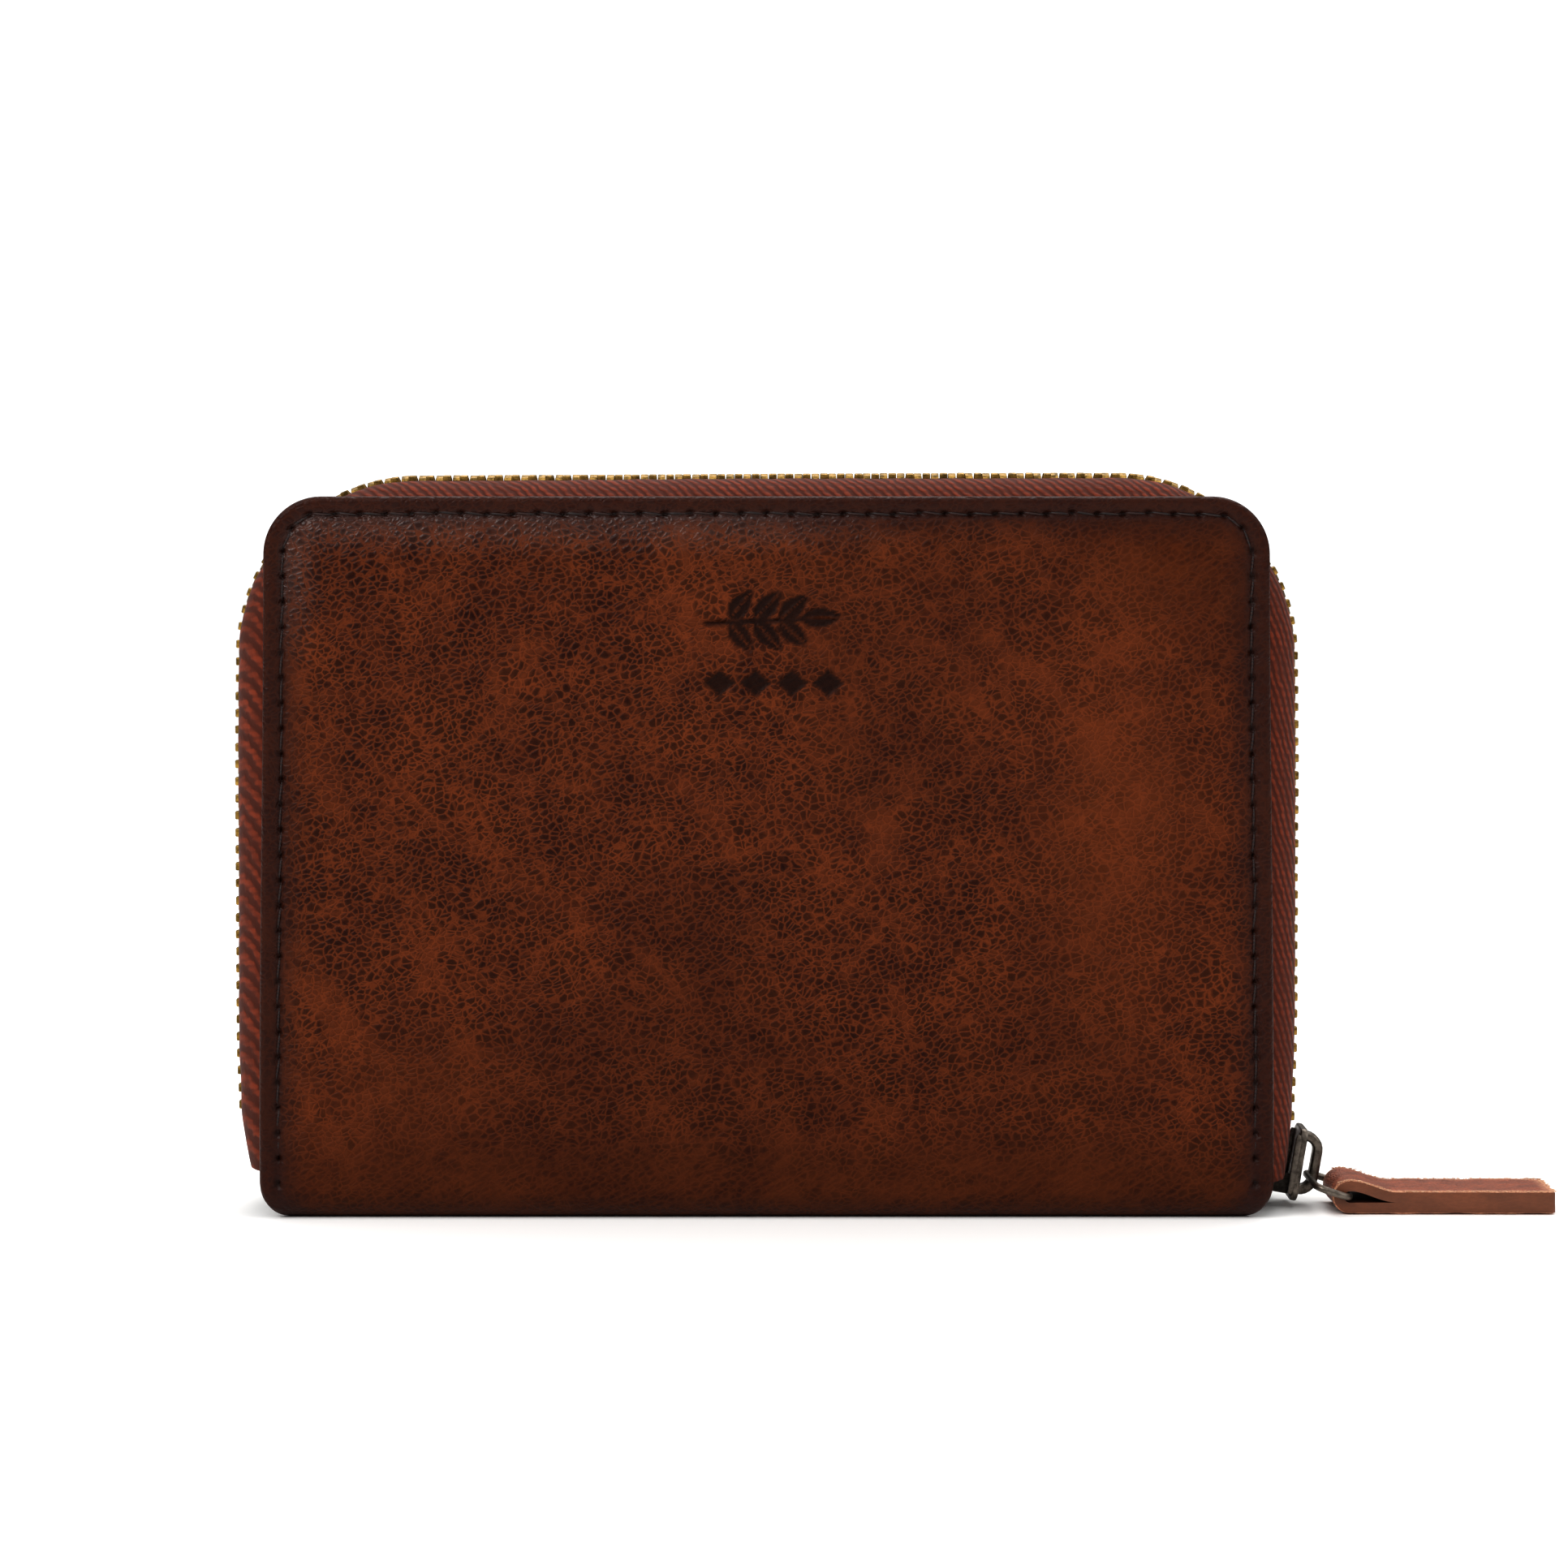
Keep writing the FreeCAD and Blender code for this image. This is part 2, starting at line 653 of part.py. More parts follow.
# ---------------------------------------------------------------- sliders and pulls
def slider_outline(half_top, half_wide, half_long):
    """A slider blade from the front: wider at the mouth, which faces down, than where the joined chain leaves."""
    foot, soft = f"blade_step - ({half_long})", "blade_round"
    return [
        (f"-({half_wide})", foot),
        (f"{soft} - ({half_wide})", f"-({half_long})", "blade_foot_round"),
        (f"({half_wide}) - {soft}", f"-({half_long})"),
        (half_wide, foot, "blade_foot_round"),
        (half_top, f"({half_long}) - {soft}"),
        (f"({half_top}) - {soft}", half_long, soft),
        (f"{soft} - ({half_top})", half_long),
        (f"-({half_top})", f"({half_long}) - {soft}", soft),
        (f"-({half_wide})", foot),
    ]


def channel_cross(channel, lip_gap, lip_inside, reach):
    """The hollow along a slider: a wide slot for the teeth and a narrow one for the tapes, seen along the chain."""
    quarter = [(channel, lip_inside), (lip_gap, lip_inside), (lip_gap, reach)]
    mirrored = [(x, f"-({y})") for x, y in reversed(quarter)]
    right = mirrored + quarter
    left = [(f"-({x})", y) for x, y in reversed(right)]
    return right + left + [right[0]]


def diamond(half_wide, foot, long):
    """The post that parts the two rows of teeth, seen from the front."""
    broadest = f"{foot} + 0.4 * ({long})"
    return [("0", foot), (half_wide, broadest), ("0", f"{foot} + {long}"), (f"-({half_wide})", broadest), ("0", foot)]


def crown_outline(root, out, foot, band, bend, half_long):
    """A D-shaped bail that stands on the outer blade, as [outer outline, hole]."""
    def d_shape(root, tip, reach, bend):
        return [
            (root, f"-({reach})"),
            (f"({tip}) - {bend}", f"-({reach})"),
            (tip, f"{bend} - ({reach})", bend),
            (tip, f"({reach}) - {bend}"),
            (f"({tip}) - {bend}", reach, bend),
            (root, reach),
            (root, f"-({reach})"),
        ]

    tip = f"({root}) + ({out})"
    outer = d_shape(root, tip, half_long, f"({bend})")
    hole = d_shape(f"({root}) + ({foot})", f"({tip}) - ({band})", f"({half_long}) - ({band})",
                   f"(({bend}) - ({band}))")
    return [outer, hole]


def place_on_chain(body):
    """Stands a slider piece, drawn about its own middle, at the closed end of the chain, leaning in at the foot."""
    bind(body, "Placement.Base.x", "chain_half_width - slider_inset")
    bind(body, "Placement.Base.z", "slider_middle")
    body.Placement.Rotation = FreeCAD.Rotation(Vector(0, 1, 0), number("slider_tilt"))


def add_blades(body, channel, blade, half_top, half_wide, half_long, lip_gap, lip_inside, post, post_long):
    """Two blades joined by a post, with a hollow between them for the teeth and gaps at the sides for the tapes."""
    half = f"{channel} + {blade}"
    pad(body, "block", "YZ_Plane", slider_outline(half_top, half_wide, half_long), f"-({half})", half)
    hollow = channel_cross(channel, lip_gap, lip_inside, f"{half_wide} + {blade}")
    cut(body, "channel", "XY_Plane", hollow, f"-2 * ({half_long})", f"2 * ({half_long})")
    foot = f"post_foot - ({half_long})"
    deep = f"({channel} + 0.2 * {blade})"
    pad(body, "post", "YZ_Plane", diamond(post, foot, post_long), f"-{deep}", deep)


def make_slider():
    slider = new_body("slider_body")
    add_blades(slider, "slider_channel", "slider_blade", "slider_half_top", "slider_half_wide", "slider_long / 2",
               "slider_lip_gap", "slider_lip_inside", "slider_post", "slider_post_long")
    place_on_chain(slider)
    crown = new_body("slider_crown")
    half = "slider_channel + slider_blade"
    outline = crown_outline(half, "crown_out", "crown_foot", "crown_band", "crown_bend",
                            "slider_long / 2 - crown_inset")
    pad(crown, "bail", "XZ_Plane", outline, "-crown_thick / 2", "crown_thick / 2")
    face, clear = number("crown_thick / 2"), number(f"{half} + crown_foot / 2")

    def at_side_face(edge):
        box = edge.BoundBox
        return abs(abs(box.YMin) - face) < 1e-6 and box.YLength < 1e-6 and box.XMin > clear

    round_edges(crown, "edge", "crown_soft", at_side_face)
    place_on_chain(crown)


def make_pull_link():
    """A rectangular wire ring: one bar through the crown, the other through the leather loop."""
    link = new_body("pull_link")
    bar, half, corner = "link_long", "link_half_wide", "link_corner"
    ring = [
        ("0", "0"),
        ("0", f"{half} - {corner}"),
        (corner, half, f"-{corner}"),
        (f"{bar} - {corner}", half),
        (bar, f"{half} - {corner}", f"-{corner}"),
        (bar, f"{corner} - {half}"),
        (f"{bar} - {corner}", f"-{half}", f"-{corner}"),
        (corner, f"-{half}"),
        ("0", f"{corner} - {half}", f"-{corner}"),
        ("0", "0"),
    ]
    wire = "link_wire / 2"
    section = [(f"-({wire})", "0"), ("0", f"-({wire})", wire)]
    section += [(wire, "0", wire), ("0", wire, wire), (f"-({wire})", "0", wire)]
    sweep(link, "wire", "XY_Plane", ring, "XZ_Plane", section, "0")
    bind(link, "Placement.Base.x", "link_near_out")
    bind(link, "Placement.Base.y", "link_aside")
    bind(link, "Placement.Base.z", "link_near_high")
    link.Placement.Rotation = FreeCAD.Rotation(Vector(0, 1, 0), number("link_slope"))


def make_puller():
    """A leather strip folded round the link's outer bar, its two plies glued and painted at the edge."""
    puller = new_body("leather_puller")
    eye, ply, soft = "puller_eye", "puller_ply", "puller_tip_round"
    loop = f"({eye} + {ply})"
    tip, top = f"puller_long - {loop}", f"2 * {ply} - {loop}"
    side = [
        ("0", f"-{loop}"),
        (f"{tip} - {soft}", f"-{loop}"),
        (tip, f"{soft} - {loop}", soft),
        (tip, f"{top} - {soft}"),
        (f"{tip} - {soft}", top, soft),
        ("puller_straight", top),
        ("puller_hump", f"{top} + puller_hump_rise", "-puller_hollow"),
        ("0", loop, "puller_shoulder"),
        (f"-{loop}", "0", loop),
        ("0", f"-{loop}", loop),
    ]
    hole = [("0", f"-{eye}"), ("puller_wedge", f"{ply} - {loop}"), ("0", eye)]
    hole += [(f"-{eye}", "0", eye), ("0", f"-{eye}", eye)]
    pad(puller, "strip", "XZ_Plane", [side, hole], "-puller_half_wide", "puller_half_wide")
    far_end = number(tip)

    def at_far_corner(edge):
        box = edge.BoundBox
        upright = box.XLength < 1e-6 and box.YLength < 1e-6
        return upright and abs(box.XMin - far_end) < 1e-6

    round_edges(puller, "end", "puller_end_round", at_far_corner)
    slope = math.radians(number("link_slope"))
    bar_x = number("link_near_out") + number("link_long") * math.cos(slope)
    bar_z = number("link_near_high") - number("link_long") * math.sin(slope)
    puller.Placement.Base = Vector(bar_x, number("link_aside"), bar_z)


def make_coin_slider():
    """The coin pocket's slider lies along X, with its mouth to the right, and carries a small metal pull tab."""
    at, level = number("coin_slider_at"), number("coin_zip_level")
    lie = FreeCAD.Placement(Vector(at, 0, level), FreeCAD.Rotation(Vector(0, 1, 0), -90))
    slider = new_body("coin_slider_body")
    add_blades(slider, "coin_channel", "coin_blade", "coin_half_top", "coin_half_mouth", "coin_half_long",
               "coin_lip_gap", "coin_lip_inside", "coin_post", "coin_post_long")
    slider.Placement = lie
    crown = new_body("coin_slider_crown")
    outline = crown_outline("coin_channel + coin_blade", "coin_crown_out", "coin_crown_foot", "coin_crown_band",
                            "coin_crown_bend", "coin_crown_half")
    pad(crown, "bail", "XZ_Plane", outline, "-coin_crown_band", "coin_crown_band")
    crown.Placement = lie
    tab = new_body("coin_pull_tab")
    near, long, half = "-coin_tab_near", "coin_tab_straight", "coin_tab_half"
    frame = [(near, f"-{half}"), (long, f"-{half}"), (f"{long} + {half}", "0", half), (long, half, half)]
    frame += [(near, half), (near, f"-{half}")]
    low, high, side = "coin_tab_near", "coin_window_far", "coin_window_half"
    window = [(low, f"-{side}"), (high, f"-{side}"), (high, side), (low, side), (low, f"-{side}")]
    pad(tab, "plate", "XY_Plane", [frame, window], "-coin_tab_half_thick", "coin_tab_half_thick")
    tab.Placement = FreeCAD.Placement(Vector(at, 0, level + number("coin_tab_high")),
                                      FreeCAD.Rotation(Vector(0, 0, 1), 180))


# ---------------------------------------------------------------- build, check and write
make_spine()
make_coin_pocket()
make_gussets()
for side, word in ((-1, "front"), (1, "back")):
    make_cover(side, word)
    make_card_slots(side, word)
    make_zip(side, word)
    make_seams(side, word)
make_bottom_stop()
make_slider()
make_pull_link()
make_puller()
make_coin_slider()
doc.recompute()

for obj in doc.Objects:
    if {"Invalid", "Error"} & set(obj.State):
        raise ValueError(f"{obj.Label} did not recompute: {obj.State}")
os.makedirs("parts", exist_ok=True)
for obj in made:
    shape = obj.Shape
    if shape.isNull() or not shape.isValid() or not shape.Solids:
        raise ValueError(f"{obj.Label} has no valid solid")
    shape.exportStep(f"parts/{obj.Label}.step")
    print(f"{obj.Label}: {len(shape.Solids)} solid(s), {shape.Volume:.1f} mm3")
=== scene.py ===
"""Looks of the zip-around leather pouch, laid out as a Blender add-on that is run as a script.

Everything is in metres, in the frame of the packed model: +X to the slider's end, +Y to the back cover, +Z up.
"""

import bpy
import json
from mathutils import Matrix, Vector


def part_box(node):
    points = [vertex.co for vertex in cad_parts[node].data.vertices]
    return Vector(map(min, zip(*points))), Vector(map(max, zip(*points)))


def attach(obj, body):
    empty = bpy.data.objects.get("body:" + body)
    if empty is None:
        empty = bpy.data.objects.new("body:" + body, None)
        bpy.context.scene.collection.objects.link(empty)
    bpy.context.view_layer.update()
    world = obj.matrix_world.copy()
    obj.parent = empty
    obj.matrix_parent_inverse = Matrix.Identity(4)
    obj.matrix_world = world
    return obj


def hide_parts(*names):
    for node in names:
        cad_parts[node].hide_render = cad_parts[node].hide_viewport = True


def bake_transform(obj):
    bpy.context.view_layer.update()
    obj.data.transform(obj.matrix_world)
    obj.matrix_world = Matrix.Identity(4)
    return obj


bl_info = {
    "name": "Zip-around pouch",
    "version": (1, 0, 0),
    "blender": (4, 5, 0),
    "location": "View3D > Sidebar > Pouch",
    "description": "Makes the leather, zip, puller and lining of a zip-around pouch on its packed frame",
    "category": "Object",
}

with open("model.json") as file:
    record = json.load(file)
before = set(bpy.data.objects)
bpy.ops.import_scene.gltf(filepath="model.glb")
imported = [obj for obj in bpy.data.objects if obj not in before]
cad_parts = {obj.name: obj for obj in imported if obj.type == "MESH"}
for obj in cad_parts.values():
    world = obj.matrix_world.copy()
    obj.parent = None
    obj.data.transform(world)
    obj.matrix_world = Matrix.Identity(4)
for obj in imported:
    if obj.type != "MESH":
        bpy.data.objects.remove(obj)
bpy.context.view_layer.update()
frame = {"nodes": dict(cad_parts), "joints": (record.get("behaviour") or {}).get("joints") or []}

import json
import math
import random

import bmesh
import bpy
import numpy as np
from bpy.props import FloatProperty, FloatVectorProperty, PointerProperty
from mathutils import Matrix, Vector

MM = 0.001


def box(name):
    """A node's two corners in the frame, as vectors."""
    low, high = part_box(name)
    return Vector(low), Vector(high)


COVER_LOW, COVER_HIGH = box("front_cover_leather")
SPINE_LOW, SPINE_HIGH = box("spine_leather")
TAPE_LOW, TAPE_HIGH = box("zip_tape_front")
JOINTS = {j["name"]: j for j in frame["joints"]}


# ---------------------------------------------------------------- sizes and colours a user would change
def length(name, description, millimetres):
    return FloatProperty(name=name, description=description, default=millimetres * MM, subtype="DISTANCE",
                         unit="LENGTH", precision=5)


def to_linear(value):
    """One sRGB hex colour as linear red, green, blue and alpha."""
    parts = [int(value[i:i + 2], 16) / 255 for i in (1, 3, 5)]
    return [c / 12.92 if c <= 0.04045 else ((c + 0.055) / 1.055) ** 2.4 for c in parts] + [1.0]


def colour(name, description, value):
    return FloatVectorProperty(name=name, description=description, default=to_linear(value), size=4, min=0, max=1,
                               subtype="COLOR")


class PouchSizes(bpy.types.PropertyGroup):
    corner: length("Cover corner", "Radius of the covers' upper corners", 8.0)
    flare: length("Cover flare", "How much further out a cover's foot stands than its top, at each side", 0.9)
    edge_round: length("Edge rounding", "Radius of the turned leather edge", 0.95)
    rim_depth: length("Turned edge", "Thickness of a cover at its turned edge", 2.4)
    rim_width: length("Turned width", "How far the leather is turned in behind the edge", 2.2)
    leather: length("Leather", "Thickness of the cover leather", 1.3)
    foot_long: length("Foot rounding, long", "Height of the rounding at the covers' bottom corners", 5.6)
    foot_wide: length("Foot rounding, wide", "Width of the rounding at the covers' bottom corners", 3.2)
    seam_inset: length("Seam inset", "Distance of the seam from the edge", 2.6)
    stitch_pitch: length("Stitch pitch", "Distance from one needle hole to the next", 3.5)
    thread: length("Thread", "Diameter of the sewing thread", 0.36)
    chain_corner: length("Chain corner", "Radius of the zip's path at the upper corners", 24.0)
    tooth_pitch: length("Tooth pitch", "Distance between two teeth of one row", 2.4)
    motif: length("Motif width", "Width of the pressed leaf motif", 18.5)


class PouchColours(bpy.types.PropertyGroup):
    grain_deep: colour("Grain, deep", "Colour in the middle of the grain's cells", "#220400")
    grain_vein: colour("Grain, veins", "Colour of the lighter veins between the cells", "#73391a")
    grain_warm: colour("Grain, rubbed", "Colour where the leather is rubbed lighter", "#63300f")
    # burnish also colours the painted shade in the needle holes and along the bottom fold.
    burnish: colour("Burnished edge", "Colour of the burnished edges", "#2e120b")
    inner: colour("Inner leather", "Colour of the leather inside", "#54291a")
    cloth: colour("Lining", "Colour of the woven lining", "#3c2a20")
    puller: colour("Puller grain", "Colour of the puller's grain side", "#9a5a42")
    edge_paint: colour("Edge paint", "Colour of the puller's painted edge", "#74442a")
    tape: colour("Zip tape", "Colour of the zip tape", "#6d2e17")
    brass: colour("Brass", "Colour of the antique brass teeth", "#b39150")
    nickel: colour("Black nickel", "Colour of the slider and link", "#7a7168")
    thread: colour("Thread", "Colour of the sewing thread", "#210c07")
    floor: colour("Floor", "Colour of the floor", "#fbfaf8")


def sizes():
    return bpy.context.scene.pouch_sizes


def colours():
    return bpy.context.scene.pouch_colours


# ---------------------------------------------------------------- mesh helpers
class Shell:
    """Gathers the faces of one piece. A paint number picks one of the piece's materials."""

    def __init__(self):
        self.points = []
        self.faces = []
        self.paints = []
        self.marks = {}

    def add(self, points):
        start = len(self.points)
        self.points.extend(tuple(p) for p in points)
        return list(range(start, len(self.points)))

    def face(self, indices, paint=0):
        self.faces.append(tuple(indices))
        self.paints.append(paint)

    def bands(self, rows, ring=False, loop=False, paint=0):
        """Joins rows of vertex indices, each to the next. ring closes every row, loop joins the last row to the first."""
        count = len(rows[0])
        pairs = list(zip(rows, rows[1:])) + ([(rows[-1], rows[0])] if loop else [])
        for a, b in pairs:
            for i in range(count if ring else count - 1):
                k = (i + 1) % count
                shade = paint[i] if isinstance(paint, (list, tuple)) else paint
                self.face((a[i], a[k], b[k], b[i]), shade)

    def finish(self, name, materials, sharp=35.0, merge=0.0):
        """Makes the object, with its normals pointing out and edges over the sharp angle left crisp."""
        mesh = bpy.data.meshes.new(name)
        mesh.from_pydata(self.points, [], self.faces)
        mesh.polygons.foreach_set("material_index", self.paints)
        mesh.polygons.foreach_set("use_smooth", [True] * len(self.faces))
        for label, values in self.marks.items():
            layer = mesh.attributes.new(label, "FLOAT", "POINT")
            layer.data.foreach_set("value", np.asarray(values, np.float32))
        work = bmesh.new()
        work.from_mesh(mesh)
        if merge:
            bmesh.ops.remove_doubles(work, verts=work.verts, dist=merge)
        bmesh.ops.recalc_face_normals(work, faces=work.faces)
        work.to_mesh(mesh)
        work.free()
        mesh.set_sharp_from_angle(angle=math.radians(sharp))
        for material in materials if isinstance(materials, (list, tuple)) else [materials]:
            mesh.materials.append(material)
        obj = bpy.data.objects.new(name, mesh)
        bpy.context.scene.collection.objects.link(obj)
        return obj


def inset(outline, distance):
    """A closed outline moved inward by a distance. The outline runs anticlockwise."""
    count = len(outline)
    moved = []
    for i in range(count):
        a, b, c = (Vector(outline[(i + k) % count]) for k in (-1, 0, 1))
        before, after = (b - a).normalized(), (c - b).normalized()
        normal = Vector((-(before.y + after.y), before.x + after.x))
        normal = normal.normalized() if normal.length > 1e-9 else Vector((-before.y, before.x))
        spread = max(normal.dot(Vector((-before.y, before.x))), 0.35)
        moved.append(b + normal * (distance / spread))
    return moved


def prism(shell, outline, low, high, bevel, place, paint=0):
    """A slab with bevelled edges between two levels. place turns (outline's two numbers, level) into a point."""
    layers = [(bevel, low), (bevel * 0.3, low + bevel * 0.3), (0, low + bevel),
              (0, high - bevel), (bevel * 0.3, high - bevel * 0.3), (bevel, high)]
    rows = [shell.add(place(p[0], p[1], level) for p in inset(outline, shrink)) for shrink, level in layers]
    shell.bands(rows, ring=True, paint=paint)
    shell.face(reversed(rows[0]), paint)
    shell.face(rows[-1], paint)


def tube(shell, points, radius, sides=8, closed=False, paint=0, squash=1.0):
    """A round bar along points. radius is one number or one for each point."""
    points = [Vector(p) for p in points]
    count = len(points)
    radii = radius if isinstance(radius, (list, tuple)) else [radius] * count
    side = None
    rows = []
    for i, point in enumerate(points):
        if closed:
            along = points[(i + 1) % count] - points[i - 1]
        else:
            along = points[min(i + 1, count - 1)] - points[max(i - 1, 0)]
        along.normalize()
        if side is None:
            side = along.cross(Vector((0.31, 0.17, 0.93))).normalized()
        side = (side - along * side.dot(along)).normalized()
        other = along.cross(side)
        angles = [2 * math.pi * k / sides for k in range(sides)]
        rows.append(shell.add(point + (side * math.cos(t) + other * (math.sin(t) * squash)) * radii[i] for t in angles))
    shell.bands(rows, ring=True, loop=closed, paint=paint)
    if not closed:
        shell.face(reversed(rows[0]), paint)
        shell.face(rows[-1], paint)


def arc(centre, radius, start, end, count):
    """Points on an arc between two angles in degrees, both ends included."""
    angles = [math.radians(start + (end - start) * i / count) for i in range(count + 1)]
    return [(centre[0] + radius * math.cos(t), centre[1] + radius * math.sin(t)) for t in angles]


def round_box(half_wide, half_high, radius, count=3):
    """A rectangle with rounded corners, anticlockwise."""
    corners = [(1, -1, -90), (1, 1, 0), (-1, 1, 90), (-1, -1, 180)]
    points = []
    for sx, sy, start in corners:
        points += arc((sx * (half_wide - radius), sy * (half_high - radius)), radius, start, start + 90, count)
    return points


def smooth(value, low, high):
    """0 below low, 1 above high, smoothly between."""
    t = np.clip((np.asarray(value, float) - low) / (high - low), 0, 1)
    return t * t * (3 - 2 * t)


def noise(points, scale, seed):
    """Smooth value noise from -1 to 1, over an array of points, with one feature each 1 / scale metres."""
    grid = np.asarray(points, float) * scale + seed * 17.31
    base = np.floor(grid).astype(np.int64)
    part = grid - base
    part = part * part * (3 - 2 * part)
    total = np.zeros(len(grid))
    for corner in range(8):
        step = np.array([corner & 1, (corner >> 1) & 1, (corner >> 2) & 1])
        cell = base + step
        mixed = (cell[:, 0] * 73856093) ^ (cell[:, 1] * 19349663) ^ (cell[:, 2] * 83492791) ^ (seed * 2654435)
        mixed = (mixed ^ (mixed >> 13)) * 1274126177 & 0x7FFFFFFF
        value = mixed / 0x7FFFFFFF * 2 - 1
        total += value * np.prod(np.where(step, part, 1 - part), axis=1)
    return total


def arch(half, top, corner, low_right, low_left, step):
    """Points round an arch in the XZ plane, from its right foot to its left foot: (x, z, out x, out z, run)."""
    straight, across = top - corner, half - corner
    runs = [straight - low_right, math.pi / 2 * corner, 2 * across, math.pi / 2 * corner, straight - low_left]
    total = sum(runs)
    count = max(int(round(total / step)), 2)
    points = []
    for i in range(count + 1):
        run = total * i / count
        points.append((*arch_at(half, top, corner, low_right, run), run))
    return points


def arch_at(half, top, corner, low_right, run):
    """The point and outward direction at a distance along an arch from its right foot."""
    straight, across, quarter = top - corner, half - corner, math.pi / 2 * corner
    if run <= straight - low_right:
        return half, low_right + run, 1.0, 0.0
    run -= straight - low_right
    if run <= quarter:
        t = run / corner
        return across + corner * math.cos(t), straight + corner * math.sin(t), math.cos(t), math.sin(t)
    run -= quarter
    if run <= 2 * across:
        return across - run, top, 0.0, 1.0
    run -= 2 * across
    if run <= quarter:
        t = math.pi / 2 + run / corner
        return -across + corner * math.cos(t), straight + corner * math.sin(t), math.cos(t), math.sin(t)
    run -= quarter
    return -half, straight - run, -1.0, 0.0


# ---------------------------------------------------------------- material helpers
def material(name):
    """A new material with one Principled shader, as (node tree, shader)."""
    made = bpy.data.materials.new(name)
    made.use_nodes = True
    tree = made.node_tree
    return made, tree, tree.nodes["Principled BSDF"]


def node(tree, kind, settings=None, inputs=None):
    """Adds a node with its settings and inputs. An input may be a value or another node, whose live output is linked."""
    made = tree.nodes.new("ShaderNode" + kind)
    for key, value in (settings or {}).items():
        setattr(made, key, value)
    wire(tree, made, inputs or {})
    return made


def wire(tree, made, inputs):
    """Sets or links inputs by name, or by index where a name stands for several."""
    live = [s for s in made.inputs if s.enabled]
    for key, value in inputs.items():
        socket = live[key] if isinstance(key, int) else next(s for s in live if s.name == key)
        source, output = value if isinstance(value, tuple) and isinstance(value[0], bpy.types.Node) else (value, None)
        if isinstance(source, bpy.types.Node):
            outputs = [o for o in source.outputs if o.enabled]
            tree.links.new(outputs[0] if output is None else source.outputs[output], socket)
        else:
            socket.default_value = value
    return made


def ramp(tree, value, low, high, start=0.0, end=1.0):
    """Maps low..high smoothly to start..end."""
    return node(tree, "MapRange", {"interpolation_type": "SMOOTHSTEP"},
                {"Value": value, "From Min": low, "From Max": high, "To Min": start, "To Max": end})


def blend_colour(tree, factor, a, b, kind="MIX"):
    return node(tree, "Mix", {"data_type": "RGBA", "blend_type": kind}, {0: factor, 1: a, 2: b})


def calc(tree, operation, a, b=0.0):
    return node(tree, "Math", {"operation": operation}, {0: a, 1: b})


def tint(value, factor):
    """A linear colour made lighter or darker."""
    return [c * factor for c in value[:3]] + [1.0]


def body_coordinates(tree, stretch=(1, 1, 1), turn=(0, 0, 0)):
    """The piece's own coordinates in metres, turned and stretched."""
    place = node(tree, "TexCoord")
    return node(tree, "Mapping", None, {"Vector": (place, "Object"), "Scale": stretch, "Rotation": turn})


def lengthened(tree, coords, rise, long, short):
    """Coordinates counted in features: long along a line that rises by some degrees to +X, short across it."""
    return node(tree, "Mapping", {"vector_type": "TEXTURE"},
                {"Vector": coords, "Rotation": (0, math.radians(-rise), 0), "Scale": (long, short, short)})


def warped(tree, coords, scale, amount):
    """Coordinates pushed about by noise: amount is in metres, one swing each 1 / scale metres."""
    swing = node(tree, "TexNoise", None, {"Vector": coords, "Scale": scale, "Detail": 2.0})
    centred = node(tree, "VectorMath", {"operation": "SUBTRACT"}, {0: (swing, "Color"), 1: (0.5, 0.5, 0.5)})
    moved = node(tree, "VectorMath", {"operation": "SCALE"}, {0: centred, "Scale": amount})
    return node(tree, "VectorMath", {"operation": "ADD"}, {0: coords, 1: moved})


